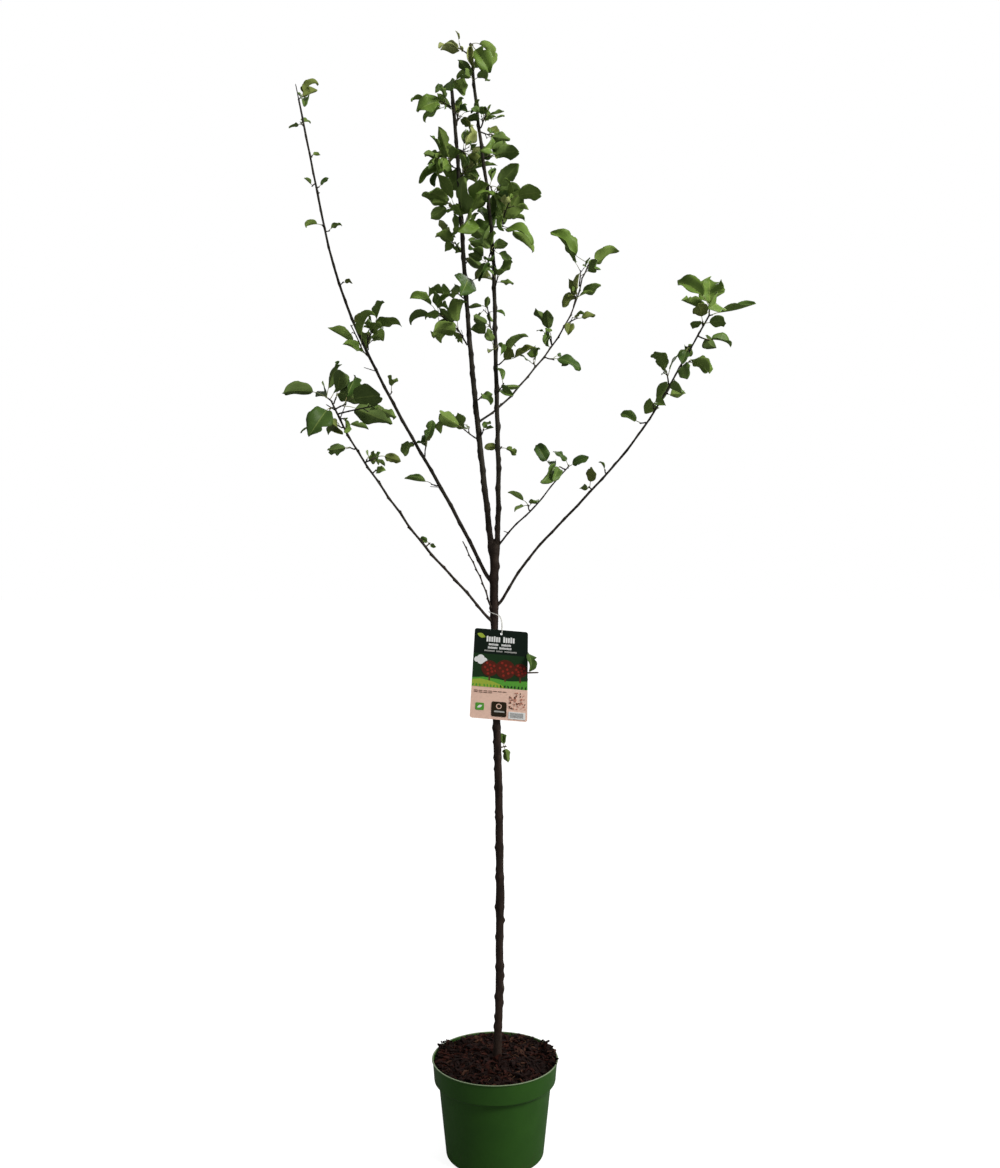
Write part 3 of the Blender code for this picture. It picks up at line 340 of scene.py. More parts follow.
class Limb:
    """The centre line and thickness of one tapering limb."""

    def __init__(self, foot, plan, extra=None):
        self.length = plan.length
        self.thickness = (plan.foot, plan.tip)
        self.extra = extra or (lambda part: 0.0)
        self.bare = plan.bare
        self.walk = [foot.copy()]
        for step in range(WALK_STEPS):
            lean = between(plan.leans, (step + 0.5) / WALK_STEPS)
            stride = leaning(plan.heading, lean) * (plan.length / WALK_STEPS)
            self.walk.append(self.walk[-1] + stride)
        dice = Random(plan.seed)
        self.buds = max(2, round(plan.length / plan.bud_gap))
        sideways = [plan.sway * dice.uniform(*SWAY) * (-1) ** bud for bud in range(1, self.buds)]
        self.sways = [0.0] + sideways + [0.0]
        self.side = UP.cross(leaning(plan.heading, 90)).normalized()

    def centre(self, part):
        place = min(max(part, 0.0), 1.0) * WALK_STEPS
        low = min(int(place), WALK_STEPS - 1)
        middle = self.walk[low].lerp(self.walk[low + 1], place - low)
        return middle + self.sideways(part) * between(self.sways, part)

    def sideways(self, part):
        """The way in which the limb steps from bud to bud."""
        low = min(int(min(max(part, 0.0), 1.0) * WALK_STEPS), WALK_STEPS - 1)
        direction = (self.walk[low + 1] - self.walk[low]).normalized()
        return (direction.cross(self.side).normalized() + self.side).normalized()

    def bud_side(self, bud, part):
        """The side that the limb's bud of a number stands on."""
        return self.sideways(part) * (1 if self.sways[bud] > 0 else -1)

    def direction(self, part):
        return (self.centre(min(part + 0.01, 1.0)) - self.centre(max(part - 0.01, 0.0))).normalized()

    def radius(self, part):
        foot, tip = self.thickness
        return foot + (tip - foot) * part + self.extra(part)

    def part_at_height(self, height):
        low, high = 0.0, 1.0
        for _ in range(30):
            middle = (low + high) / 2
            if self.centre(middle).z < height:
                low = middle
            else:
                high = middle
        return low


def trunk_line():
    plan = LimbPlan(None, None, None, 180, TRUNK_LEANS, TRUNK_LENGTH, TRUNK_RADIUS, TRUNK_RADIUS,
                    0.0, TRUNK_BUD_GAP, 1, 1.0)

    def swelling(part):
        up = part * TRUNK_LENGTH
        flare = ROOT_FLARE * exp(-up / ROOT_FLARE_HEIGHT * 3)
        return flare + FORK_SWELL * exp((up - TRUNK_LENGTH) / FORK_SWELL_HEIGHT * 2)

    return Limb(Vector((TRUNK_FOOT_X, 0, SOIL_TOP + GAP)), plan, swelling)


def limb_lines(trunk):
    """Every limb's centre line by name, and the point and direction that its foot leaves from."""
    lines = {"trunk": trunk}
    feet = {}
    top = trunk.centre(1)
    for name, spread in (("leader_left", -FORK_SPREAD), ("leader_right", FORK_SPREAD)):
        lines[name] = Limb(top + Vector((spread, 0, GAP)), LIMBS[name])
    for name, plan in LIMBS.items():
        if name in lines:
            continue
        parent = lines[plan.parent]
        part = parent.part_at_height(plan.height)
        outward = leaning(plan.heading, 90)
        surface = parent.centre(part) + outward * (parent.radius(part) + GAP)
        feet[name] = (surface, outward)
        lines[name] = Limb(surface + outward * plan.collar, plan)
    return lines, feet


Leaf = namedtuple("Leaf", "start base direction roll length width fold curl")


def half_width(part):
    """Half of a blade's width, as a share of the widest, part of the way from base to tip."""
    return sin(pi * part**0.85) ** 0.75 if 0 < part < 1 else 0.0


def blade_frame(leaf):
    """Takes a blade that lies along +X, upper face to +Z, to its place."""
    normal = across(leaf.direction, off_axis(leaf.direction))
    normal.rotate(Matrix.Rotation(leaf.roll, 3, leaf.direction))
    frame = Matrix((leaf.direction, normal.cross(leaf.direction), normal)).transposed().to_4x4()
    frame.translation = leaf.base
    return frame


def deal_leaves(twig, root, direction):
    """The leaves of one twig, dealt round it by the golden turn from its tip down."""
    dice = Random(twig.seed)
    phase = dice.uniform(0, 2 * pi)
    sideways = across(direction, off_axis(direction))
    dealt = []
    for index in range(twig.leaves):
        along = 1 - index * LEAFY_SHARE / max(twig.leaves, 2) * dice.uniform(*LEAF_SPACING)
        turn = phase + index * radians(GOLDEN_TURN) + dice.uniform(*LEAF_TURN)
        spread = radians(dice.uniform(*LEAF_SPREAD))
        outward = sideways.copy()
        outward.rotate(Matrix.Rotation(turn, 3, direction))
        heading = (direction * cos(spread) + outward * sin(spread)).normalized()
        size = twig.leaf * dice.uniform(*LEAF_SIZE)
        stalk = size * dice.uniform(*LEAF_STALK)
        droop = dice.uniform(*LEAF_DROOP)
        start = root + direction * twig.reach * along
        base = start + heading * stalk
        blade = (heading - UP * droop).normalized()
        roll = radians(dice.uniform(*LEAF_ROLL))
        width = size * dice.uniform(*LEAF_WIDTH)
        fold = radians(dice.uniform(*LEAF_FOLD))
        curl = radians(dice.uniform(*LEAF_CURL))
        dealt.append(Leaf(start, base, blade, roll, size, width, fold, curl))
    return dealt


def twig_path(twig, lines, roots):
    """A twig's direction and the points from inside what carries it to its tip."""
    direction = leaning(twig.heading, twig.lean)
    reach = max(twig.reach, 2 * TWIG_RADIUS)
    if twig.on in roots:
        parent_root, parent_direction, parent_reach = roots[twig.on]
        root = parent_root + parent_direction * parent_reach * twig.part
        points = [root, root + direction * reach]
    elif twig.part >= 1:
        root = lines[twig.on].centre(1)
        points = [root - direction * TWIG_RADIUS, root + direction * reach]
    else:
        carrier = lines[twig.on]
        outward = across(carrier.direction(twig.part), direction)
        root = carrier.centre(twig.part) + outward * (carrier.radius(twig.part) + GAP + TWIG_COLLAR)
        points = [carrier.centre(twig.part), root, root + direction * reach]
    roots[twig.name] = (root, direction, twig.reach)
    return root, direction, points


# ---- meshes ----

BUD_SIDES = 7
BUD_STEPS = 5
BUD_SUNK = 0.15  # share of its length below its foot
BUD_FOOT = 0.28  # where in half a wave its swelling starts
BUD_TIP = 0.06  # share of its radius


class Heap:
    """Corners and faces of many small forms that become one piece. Each face has the number of its
    material."""

    def __init__(self):
        self.verts = []
        self.faces = []
        self.finishes = []

    def add(self, verts, faces, finish=0):
        """finish is one number for every face, or a list with one for each."""
        first = len(self.verts)
        self.verts += [tuple(vert) for vert in verts]
        self.faces += [tuple(first + corner for corner in face) for face in faces]
        self.finishes += finish if isinstance(finish, list) else [finish] * len(faces)

    def piece(self, name, materials, smooth=True):
        mesh = bpy.data.meshes.new(name)
        mesh.from_pydata(self.verts, [], self.faces)
        for material in materials:
            mesh.materials.append(material)
        mesh.polygons.foreach_set("material_index", self.finishes)
        if smooth:
            mesh.shade_smooth()
        return put_in_scene(name, mesh)


def put_in_scene(name, data):
    thing = bpy.data.objects.new(name, data)
    bpy.context.scene.collection.objects.link(thing)
    return thing


def dress(piece, slot, *nodes):
    """Ties a piece to the model: its body and the solids that it stands for. slot, its finish, is not used.
    """
    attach(piece, BODY)
    if nodes:
        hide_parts(*nodes)


def frames_along(points):
    """At each point of a path: its place and two vectors across, without twist."""
    normal = None
    found = []
    for place, point in enumerate(points):
        before = points[max(place - 1, 0)]
        after = points[min(place + 1, len(points) - 1)]
        axis = (after - before).normalized()
        normal = across(axis, normal or off_axis(axis))
        found.append((point, normal, axis.cross(normal)))
    return found


def tube(points, radii, sides, relief=None):
    """Corners and faces of a closed tube. relief(place, outward, point) is added to the radius."""
    verts = []
    for place, (point, normal, binormal) in enumerate(frames_along(points)):
        for side in range(sides):
            turn = 2 * pi * side / sides
            outward = normal * cos(turn) + binormal * sin(turn)
            radius = radii[place]
            if relief:
                radius += relief(place, outward, point + outward * radius)
            verts.append(point + outward * radius)
    return verts, tube_faces(len(points), sides)


def tube_faces(rings, sides):
    """Faces of a closed tube, by its corners ring by ring: two ends, then its skin."""
    faces = [tuple(reversed(range(sides))), tuple(range((rings - 1) * sides, rings * sides))]
    for ring in range(rings - 1):
        for side in range(sides):
            low = ring * sides + side
            high = ring * sides + (side + 1) % sides
            faces.append((low, high, high + sides, low + sides))
    return faces


def turned_over(faces):
    """The same faces, seen from their other side."""
    return [(face[0], *reversed(face[1:])) for face in faces]


def bud_form(foot, direction, length, radius, blunt=1.4):
    """Corners and faces of a bud: sunk a little, round at its foot and drawn to a tip. The blunter
    it is, the more of its length stays full."""
    points = []
    radii = []
    for step in range(BUD_STEPS + 1):
        part = step / BUD_STEPS
        points.append(foot + direction * length * (part - BUD_SUNK))
        swell = sin(pi * (BUD_FOOT + (1 - BUD_FOOT) * part**blunt))
        radii.append(radius * max(swell, BUD_TIP))
    return tube(points, radii, BUD_SIDES)


def bend_path(first, middle, last, steps):
    """Points on a curve that leaves first towards middle and arrives at last from it."""
    points = []
    for step in range(steps + 1):
        part = step / steps
        early = first.lerp(middle, part)
        late = middle.lerp(last, part)
        points.append(early.lerp(late, part))
    return points


def turned(name, profile, sides, material):
    """A solid spun from a profile of (radius, height) that starts and ends on the axis."""
    shape = bmesh.new()
    corners = [shape.verts.new((radius, 0, height)) for radius, height in profile]
    edges = [shape.edges.new(pair) for pair in zip(corners, corners[1:])]
    bmesh.ops.spin(shape, geom=corners + edges, cent=(0, 0, 0), axis=(0, 0, 1), angle=2 * pi,
                   steps=sides, use_merge=True, use_duplicate=False)
    bmesh.ops.remove_doubles(shape, verts=shape.verts, dist=1e-6)
    bmesh.ops.recalc_face_normals(shape, faces=shape.faces)
    mesh = bpy.data.meshes.new(name)
    shape.to_mesh(mesh)
    shape.free()
    mesh.materials.append(material)
    return put_in_scene(name, mesh)


def apply_difference(target, cutter):
    """Cuts one piece out of another and keeps the result as the target's mesh."""
    modifier = target.modifiers.new("cut", "BOOLEAN")
    modifier.operation = "DIFFERENCE"
    modifier.object = cutter
    graph = bpy.context.evaluated_depsgraph_get()
    graph.update()
    cut = bpy.data.meshes.new_from_object(target.evaluated_get(graph))
    target.modifiers.clear()
    target.data = cut
    bpy.data.objects.remove(cutter)


# ---- parts of materials that more than one finish uses ----


def add_node(tree, kind, inputs=None, **settings):
    """A node with its settings. inputs hold, by a socket's name or place, a socket to link from, a
    number, or a colour of three parts."""
    node = tree.nodes.new(kind)
    for setting, value in settings.items():
        setattr(node, setting, value)
    for label, value in (inputs or {}).items():
        if isinstance(value, bpy.types.NodeSocket):
            tree.links.new(value, node.inputs[label])
        else:
            node.inputs[label].default_value = (*value, 1) if isinstance(value, tuple) else value
    return node


def worked_out(tree, operation, *inputs):
    """Result of one sum on sockets and numbers."""
    return add_node(tree, "ShaderNodeMath", dict(enumerate(inputs)), operation=operation).outputs[0]


def mixed(tree, share, first, second):
    """Colour between two, each a socket or a colour."""
    inputs = {0: share, 6: first, 7: second}
    return add_node(tree, "ShaderNodeMix", inputs, data_type="RGBA").outputs[2]


def noise_on(tree, place, scale, detail, roughness=0.5):
    inputs = {"Vector": place, "Scale": scale, "Detail": detail, "Roughness": roughness}
    return add_node(tree, "ShaderNodeTexNoise", inputs).outputs["Fac"]


def new_group(name, inputs, outputs):
    """A node group with its named sockets. inputs hold first values, outputs kinds of socket."""
    group = bpy.data.node_groups.new(name, "ShaderNodeTree")
    for label, value in inputs.items():
        kind = "NodeSocketColor" if isinstance(value, tuple) else "NodeSocketFloat"
        socket = group.interface.new_socket(label, in_out="INPUT", socket_type=kind)
        socket.default_value = (*value, 1) if isinstance(value, tuple) else value
    for label, kind in outputs.items():
        group.interface.new_socket(label, in_out="OUTPUT", socket_type="NodeSocket" + kind)
    given = group.nodes.new("NodeGroupInput").outputs
    result = group.nodes.new("NodeGroupOutput").inputs
    return group, given, result


def stretched_place(tree, stretch):
    """Place on the object, with its height scaled by a socket."""
    place = add_node(tree, "ShaderNodeTexCoord").outputs["Object"]
    size = add_node(tree, "ShaderNodeCombineXYZ", {"X": 1.0, "Y": 1.0, "Z": stretch}).outputs[0]
    return add_node(tree, "ShaderNodeVectorMath", {0: place, 1: size}, operation="MULTIPLY").outputs[0]


def build_patches_group():
    """Cloudy change between two colours, as on bark, leaves, soil and plastic."""
    group, given, result = new_group(
        "patches",
        {"Main": (0.5, 0.5, 0.5), "Other": (0.2, 0.2, 0.2), "Scale": 60.0, "Stretch": 1.0, "Share": 0.5,
         "Softness": 0.15},
        {"Color": "Color", "Mask": "Float"},
    )
    cloud = noise_on(group, stretched_place(group, given["Stretch"]), given["Scale"], 4.0, 0.6)
    edge = worked_out(group, "SUBTRACT", 1.0, given["Share"])
    low = worked_out(group, "SUBTRACT", edge, given["Softness"])
    high = worked_out(group, "ADD", edge, given["Softness"])
    mask = add_node(group, "ShaderNodeMapRange", {"Value": cloud, "From Min": low, "From Max": high},
                    interpolation_type="SMOOTHSTEP").outputs[0]
    group.links.new(mixed(group, mask, given["Main"], given["Other"]), result["Color"])
    group.links.new(mask, result["Mask"])
    return group


def build_grain_group():
    """Fine unevenness as a height, from a coarse and a fine noise."""
    group, given, result = new_group(
        "grain", {"Scale": 200.0, "Stretch": 1.0, "Fine Share": 0.4}, {"Height": "Float"}
    )
    place = stretched_place(group, given["Stretch"])
    coarse = noise_on(group, place, given["Scale"], 3.0)
    fine = noise_on(group, place, worked_out(group, "MULTIPLY", given["Scale"], 5.0), 2.0)
    height = add_node(group, "ShaderNodeMix", {0: given["Fine Share"], 2: coarse, 3: fine},
                      data_type="FLOAT")
    group.links.new(height.outputs[0], result["Height"])
    return group


def build_specks_group():
    """Scattered small marks: the breathing pores on bark."""
    group, given, result = new_group(
        "specks", {"Scale": 300.0, "Stretch": 1.0, "Size": 0.2}, {"Mask": "Float"}
    )
    place = stretched_place(group, given["Stretch"])
    cells = add_node(group, "ShaderNodeTexVoronoi",
                     {"Vector": place, "Scale": given["Scale"], "Randomness": 1.0})
    mask = add_node(group, "ShaderNodeMapRange",
                    {"Value": cells.outputs["Distance"], "From Min": 0.0, "From Max": given["Size"],
                     "To Min": 1.0, "To Max": 0.0}, interpolation_type="SMOOTHSTEP")
    group.links.new(mask.outputs[0], result["Mask"])
    return group


def build_height_group():
    """How far up the object a point lies: 0 at Start and 1 at End, in metres above the floor."""
    group, given, result = new_group("height", {"Start": 0.0, "End": 1.0}, {"Mask": "Float"})
    place = add_node(group, "ShaderNodeTexCoord").outputs["Object"]
    upward = add_node(group, "ShaderNodeSeparateXYZ", {0: place}).outputs["Z"]
    mask = add_node(group, "ShaderNodeMapRange",
                    {"Value": upward, "From Min": given["Start"], "From Max": given["End"]})
    group.links.new(mask.outputs[0], result["Mask"])
    return group


PATCHES = build_patches_group()
GRAIN = build_grain_group()
SPECKS = build_specks_group()
HEIGHT = build_height_group()


def placed_group(tree, group, **values):
    """A group in a material, each value by its socket's name in lower case."""
    named = {label.replace("_", " ").title(): value for label, value in values.items()}
    return add_node(tree, "ShaderNodeGroup", named, node_tree=group).outputs


def new_material(name, specular):
    material = bpy.data.materials.new(name)
    material.use_nodes = True
    tree = material.node_tree
    shader = tree.nodes["Principled BSDF"]
    shader.inputs["Specular IOR Level"].default_value = specular
    return material, tree, shader


def finish_with(tree, shader, colour, mask, roughness, height, relief):
    """Ties a colour, a roughness that goes from its first to its second value with a mask, and a
    relief of a strength and a depth to a material's shader."""
    tree.links.new(colour, shader.inputs["Base Color"])
    spread = add_node(tree, "ShaderNodeMapRange",
                      {"Value": mask, "To Min": roughness[0], "To Max": roughness[1]})
    tree.links.new(spread.outputs[0], shader.inputs["Roughness"])
    bump = add_node(tree, "ShaderNodeBump",
                    {"Height": height, "Strength": relief[0], "Distance": relief[1]})
    tree.links.new(bump.outputs[0], shader.inputs["Normal"])


# ---- finishes ----

# how a plain finish is clouded and grained; the relief is its strength and its depth
Texture = namedtuple("Texture", "scale share softness grain fine_share relief specular")
LEAF_FACE = Texture(70.0, 0.45, 0.25, 500.0, 0.3, (0.2, 0.0003), 0.13)
LEAF_BACK = LEAF_FACE._replace(specular=0.05)
EARTH = Texture(170.0, 0.5, 0.12, 420.0, 0.5, (0.7, 0.001), 0.1)
EARTH_ROUGHNESS = (0.78, 0.9)
PRINT = Texture(240.0, 0.4, 0.3, 1500.0, 0.3, (0.06, 0.0002), 0.12)
PRINT_SHADE = 0.88  # a print's cloudy second colour, as a share of its own

YOUNG_BARK = {"main": (0.032, 0.028, 0.0195), "other": (0.019, 0.0165, 0.012)}
YOUNG_BARK_HEIGHTS = {"start": 0.96, "end": 1.12}  # over this rise the older bark turns into it
GREY_BARK = (0.075, 0.062, 0.048)
GREY_BARK_HEIGHTS = {"start": 0.4, "end": 0.24}
BARK_ROUGHNESS = (0.5, 0.8)
BARK_PATCHES = {"scale": 120.0, "stretch": 0.35, "share": 0.5, "softness": 0.18}
PORE_SIZE = 0.24
PORE_RISE = 0.35  # share of the bark's relief

PLASTIC = {"main": (0.026, 0.082, 0.012), "other": (0.022, 0.07, 0.011)}
SOIL_DUST = (0.05, 0.035, 0.02)
DUST_HEIGHTS = {"start": 0.03, "end": -0.03}
# a paler ring round the top of the lip: a painted highlight where the rolled lip catches the light
LIP_PAINTED_HIGHLIGHT = (0.18, 0.23, 0.14)
LIP_PAINTED_HIGHLIGHT_HEIGHTS = {"start": POT_HEIGHT - 0.0011, "end": POT_HEIGHT - 0.0002}
BLACK_TO_WHITE = {"main": (0, 0, 0), "other": (1, 1, 1)}

UNDERSIDE = (0.26, 0.31, 0.12)
RIB = (0.34, 0.4, 0.12)


def plain_finish(name, main, other, texture, roughness):
    """One colour with a cloudy second one, a roughness that follows it, and a grain."""
    material, tree, shader = new_material(name, texture.specular)
    patches = placed_group(tree, PATCHES, main=main, other=other, scale=texture.scale,
                           share=texture.share, softness=texture.softness)
    grain = placed_group(tree, GRAIN, scale=texture.grain, fine_share=texture.fine_share)
    finish_with(tree, shader, patches["Color"], patches["Mask"], roughness, grain["Height"],
                texture.relief)
    return material


def print_finish(name, colour, roughness=(0.38, 0.46)):
    """Ink on a coated card, or the card itself, with the card's faint tooth."""
    shade = tuple(part * PRINT_SHADE for part in colour)
    return plain_finish(name, colour, shade, PRINT, roughness)


def towards(colour, share, aim):
    """A colour part of the way towards another."""
    return tuple(own + (other - own) * share for own, other in zip(colour, aim))


def leaf_trio(tint):
    """Upper face, underside and midrib of one tint of leaf."""
    main, other = LEAF_TINTS[tint]
    under = (towards(main, 0.2, UNDERSIDE), towards(other, 0.2, UNDERSIDE))
    rib = (towards(main, 0.3, RIB), towards(main, 0.15, RIB))
    return [
        plain_finish(tint + " leaf", main, other, LEAF_FACE, (0.42, 0.54)),
        plain_finish(tint + " leaf underside", *under, LEAF_BACK, (0.75, 0.87)),
        plain_finish(tint + " leaf rib", *rib, LEAF_FACE, (0.5, 0.62)),
    ]


def bark_finish(name, main, other, pore, pore_scale):
    """Young bark: two close browns in long patches, with paler pores that lie across the limb. It
    turns grey green above the fork, and weathers to a pale grey in spots near the soil."""
    material, tree, shader = new_material(name, 0.12)
    patches = placed_group(tree, PATCHES, main=main, other=other, **BARK_PATCHES)
    young = placed_group(tree, PATCHES, **YOUNG_BARK, **BARK_PATCHES)
    above = placed_group(tree, HEIGHT, **YOUNG_BARK_HEIGHTS)
    colour = mixed(tree, above["Mask"], patches["Color"], young["Color"])
    low = placed_group(tree, HEIGHT, **GREY_BARK_HEIGHTS)
    spots = placed_group(tree, PATCHES, **BLACK_TO_WHITE, scale=75.0, stretch=0.6, share=0.36,
                         softness=0.08)
    weathered = worked_out(tree, "MULTIPLY", low["Mask"], spots["Mask"])
    colour = mixed(tree, weathered, colour, GREY_BARK)
    pores = placed_group(tree, SPECKS, scale=pore_scale, stretch=1.9, size=PORE_SIZE)
    colour = mixed(tree, pores["Mask"], colour, pore)
    grain = placed_group(tree, GRAIN, scale=260.0, stretch=0.5, fine_share=0.4)
    raised = worked_out(tree, "MULTIPLY_ADD", pores["Mask"], PORE_RISE, grain["Height"])
    finish_with(tree, shader, colour, patches["Mask"], BARK_ROUGHNESS, raised, (0.55, 0.0006))
    return material


def pot_finish():
    """Moulded green plastic, satin and a little cloudy; soil dust low down; a highlight painted on the lip.
    """
    material, tree, shader = new_material("pot green plastic", 0.1)
    patches = placed_group(tree, PATCHES, **PLASTIC, scale=22.0, share=0.5, softness=0.3)
    dust = placed_group(tree, PATCHES, **BLACK_TO_WHITE, scale=60.0, stretch=0.5, share=0.42,
                        softness=0.12)
    low = placed_group(tree, HEIGHT, **DUST_HEIGHTS)
    dusty = worked_out(tree, "MULTIPLY", low["Mask"], dust["Mask"])
    colour = mixed(tree, dusty, patches["Color"], SOIL_DUST)
    # the paler lip is a painted highlight, not wear
    rim = placed_group(tree, HEIGHT, **LIP_PAINTED_HIGHLIGHT_HEIGHTS)
    colour = mixed(tree, rim["Mask"], colour, LIP_PAINTED_HIGHLIGHT)
    grain = placed_group(tree, GRAIN, scale=900.0, fine_share=0.3)
    finish_with(tree, shader, colour, patches["Mask"], (0.38, 0.5), grain["Height"], (0.12, 0.0003))
    return material


# ---- bark ----

BARK_STEP = 0.0021  # between rings
LEAST_RINGS = 8
BUD_SWELL = 0.34  # share of the limb's radius
BUD_SWELL_REACH = 0.0042
BUD_SWELL_BEHIND = 0.35  # how much of it goes round to the side away from the bud
RELIEF_SPREAD = 50
RIDGE_SCALE = (130, 130, 38)  # ridges run along the limb
WRINKLE_SCALE = 420
COLLAR_SHARE = 0.5  # extra thickness where a limb leaves its parent, as a share of its radius
COLLAR_LENGTH = 0.006
FOOT_BEND = 0.016  # length over which a limb turns out of its parent
FOOT_SUNK = 0.6  # share of the parent's radius
FOOT_BELOW = 0.005
# how a leader starts inside the trunk: depth, share of its step aside, share of its radius
LEADER_SUNK = ((0.022, 0.15, 0.55), (0.012, 0.5, 0.7), (0.005, 0.8, 0.85))
LEADER_SWELL = 0.14  # extra thickness of a leader at the fork, as a share of its radius
LEADER_SWELL_LENGTH = 0.022
TRUNK_SUNK = 0.006
# the web of bark between the leaders: height above the fork, share of the trunk's radius
FORK_WEB = ((0.003, 0.95), (0.006, 0.84), (0.009, 0.68), (0.012, 0.5), (0.0145, 0.32), (0.016, 0.12))
FORK_WEB_THIN = 0.25  # how much of the web's rise it loses in depth, front and back

# swellings, scars and the graft on a limb: height, heading, how far it stands out, half length
KNOTS = {
    "trunk": (
        (0.225, 180, 0.0018, 0.004), (0.248, 0, 0.002, 0.006),
        (0.27, 12, 0.0026, 0.008), (0.293, 350, 0.0022, 0.006),
        (0.31, 5, 0.0014, 0.005), (0.385, 0, 0.0026, 0.004),
        (0.43, 355, 0.002, 0.03), (0.47, 200, 0.0008, 0.005),
        (0.565, 190, 0.0016, 0.003), (0.637, 170, 0.0014, 0.003),
        (0.682, 180, 0.0016, 0.003), (0.76, 20, 0.001, 0.004),
        (0.8878, 205, 0.0014, 0.007), (0.9134, 335, 0.0014, 0.007),
        (0.93, 185, 0.001, 0.03), (0.9546, 155, 0.0016, 0.008),
        (0.974, 0, 0.0024, 0.0065), (0.98, 270, 0.0008, 0.006),
        (1.0003, 180, 0.0016, 0.006), (0.996, 300, 0.0012, 0.005),
    ),
    "leader_left": (
        (1.006, 180, 0.0012, 0.006), (1.078, 0, 0.001, 0.004),
        (1.115, 180, 0.0014, 0.004), (1.1566, 180, 0.0012, 0.004),
        (1.188, 180, 0.0013, 0.004), (1.2197, 20, 0.001, 0.005),
        (1.2416, 180, 0.0012, 0.006), (1.2866, 0, 0.001, 0.0035),
        (1.308, 0, 0.0013, 0.004), (1.35, 185, 0.001, 0.004),
    ),
    "leader_right": (
        (1.014, 330, 0.001, 0.004), (1.055, 180, 0.001, 0.004),
        (1.153, 0, 0.0012, 0.004), (1.183, 180, 0.0013, 0.004),
        (1.21, 0, 0.0013, 0.004), (1.265, 175, 0.0009, 0.004),
        (1.3716, 0, 0.0018, 0.004),
    ),
}
# how much of a ridge and of a wrinkle each limb's bark has, and the number of sides it is built with
BARK = {
    "trunk": (0.0008, 0.00034, 40),
    "leader_left": (0.0005, 0.00024, 30),
    "leader_right": (0.00045, 0.00022, 30),
    "bough_low_left": (0.00028, 0.00014, 18),
    "bough_long_left": (0.0003, 0.00014, 18),
    "bough_right": (0.00028, 0.00014, 18),
    "bough_short_right": (0.00012, 0.00008, 14),
    "bough_high_right": (0.00012, 0.00008, 14),
    "bare_twig": (0.0001, 0.00006, 12),
}


def bark_relief(line, seed, ridge_height, wrinkle_height, knots):
    """Height of the bark over a limb: long ridges, fine wrinkles, a swelling at each bud and knots.
    Past its end it narrows from front to back, as the web between two leaders does."""
    dice = Random(seed)
    shift = Vector([dice.uniform(0, RELIEF_SPREAD) for _ in range(3)])
    end = line.centre(1).z

    def relief(part, outward, point):
        ridge = noise.noise(Vector(own * scale for own, scale in zip(point, RIDGE_SCALE)) + shift)
        wrinkle = noise.noise(point * WRINKLE_SCALE + shift)
        height = ridge_height * ridge + wrinkle_height * wrinkle
        bud = round(part * line.buds)
        if 0 < bud < line.buds:
            away = (part - bud / line.buds) * line.length
            side = outward.dot(line.bud_side(bud, part))
            swelling = BUD_SWELL * line.radius(part) * exp(-((away / BUD_SWELL_REACH) ** 2))
            height += swelling * (BUD_SWELL_BEHIND + (1 - BUD_SWELL_BEHIND) * max(side, 0.0))
        for level, heading, rise, reach in knots:
            facing = max(outward.dot(leaning(heading, 90)), 0.0)
            height += rise * facing**2 * exp(-(((point.z - level) / reach) ** 2))
        over = max(point.z - end, 0.0) if part >= 1 else 0.0
        return height - FORK_WEB_THIN * over * abs(outward.y)

    return relief


def stretch_of(line, start, end):
    """Evenly spaced parts of a limb, a bark ring each."""
    rings = max(LEAST_RINGS, round(line.length * (end - start) / BARK_STEP))
    return [start + (end - start) * step / rings for step in range(rings + 1)]


def bough_route(line, foot, parent):
    """Parts and points of a bough, from inside its parent to its tip."""
    surface, outward = foot
    bent = FOOT_BEND / line.length
    inside = surface - outward * parent * FOOT_SUNK - UP * FOOT_BELOW
    rings = round(FOOT_BEND / BARK_STEP)
    turn_out = bend_path(inside, line.centre(0), line.centre(bent), rings)[:-1]
    parts = [bent * step / rings for step in range(rings)]
    rest = stretch_of(line, bent, 1.0)
    return parts + rest, turn_out + [line.centre(part) for part in rest]


def leader_route(line, trunk):
    """Parts and points of a leader, from inside the trunk's top to its tip."""
    aside = line.centre(0) - trunk.centre(1)
    sunk = [trunk.centre(1 - depth / TRUNK_LENGTH) + aside * share for depth, share, _ in LEADER_SUNK]
    rest = stretch_of(line, 0.0, 1.0)
    return [0.0] * len(sunk) + rest, sunk + [line.centre(part) for part in rest]


def make_bark(name, lines, feet, material):
    """The bark of one limb or of the trunk."""
    line = lines[name]
    ridge_height, wrinkle_height, sides = BARK[name]
    relief = bark_relief(line, sum(map(ord, name)), ridge_height, wrinkle_height, KNOTS.get(name, ()))
    if name == "trunk":
        parts = stretch_of(line, 0.0, 1.0)
        points = [line.centre(part) for part in parts]
    elif name in feet:
        parent = lines[LIMBS[name].parent]
        carried = parent.radius(parent.part_at_height(LIMBS[name].height))
        parts, points = bough_route(line, feet[name], carried)
    else:
        parts, points = leader_route(line, lines["trunk"])
    radii = [line.radius(part) for part in parts]
    away = [part * line.length for part in parts]
    if name in feet:
        radii = [radius * (1 + COLLAR_SHARE * exp(-up / COLLAR_LENGTH))
                 for radius, up in zip(radii, away)]
    elif name == "trunk":
        top, rim = points[-1], radii[-1]
        points = [points[0] - UP * TRUNK_SUNK] + points + [top + UP * rise for rise, _ in FORK_WEB]
        parts = [0.0] + parts + [1.0] * len(FORK_WEB)
        radii = [radii[0]] + radii + [rim * share for _, share in FORK_WEB]
    else:
        radii = [radius * (1 + LEADER_SWELL * exp(-up / LEADER_SWELL_LENGTH))
                 for radius, up in zip(radii, away)]
        for place, (_, _, share) in enumerate(LEADER_SUNK):
            radii[place] *= share
    heap = Heap()
    heap.add(*tube(points, radii, sides, relief=lambda place, out, point: relief(parts[place], out, point)))
    dress(heap.piece("bark_" + name, [material]), "bark", name)


# ---- buds and dry spurs ----

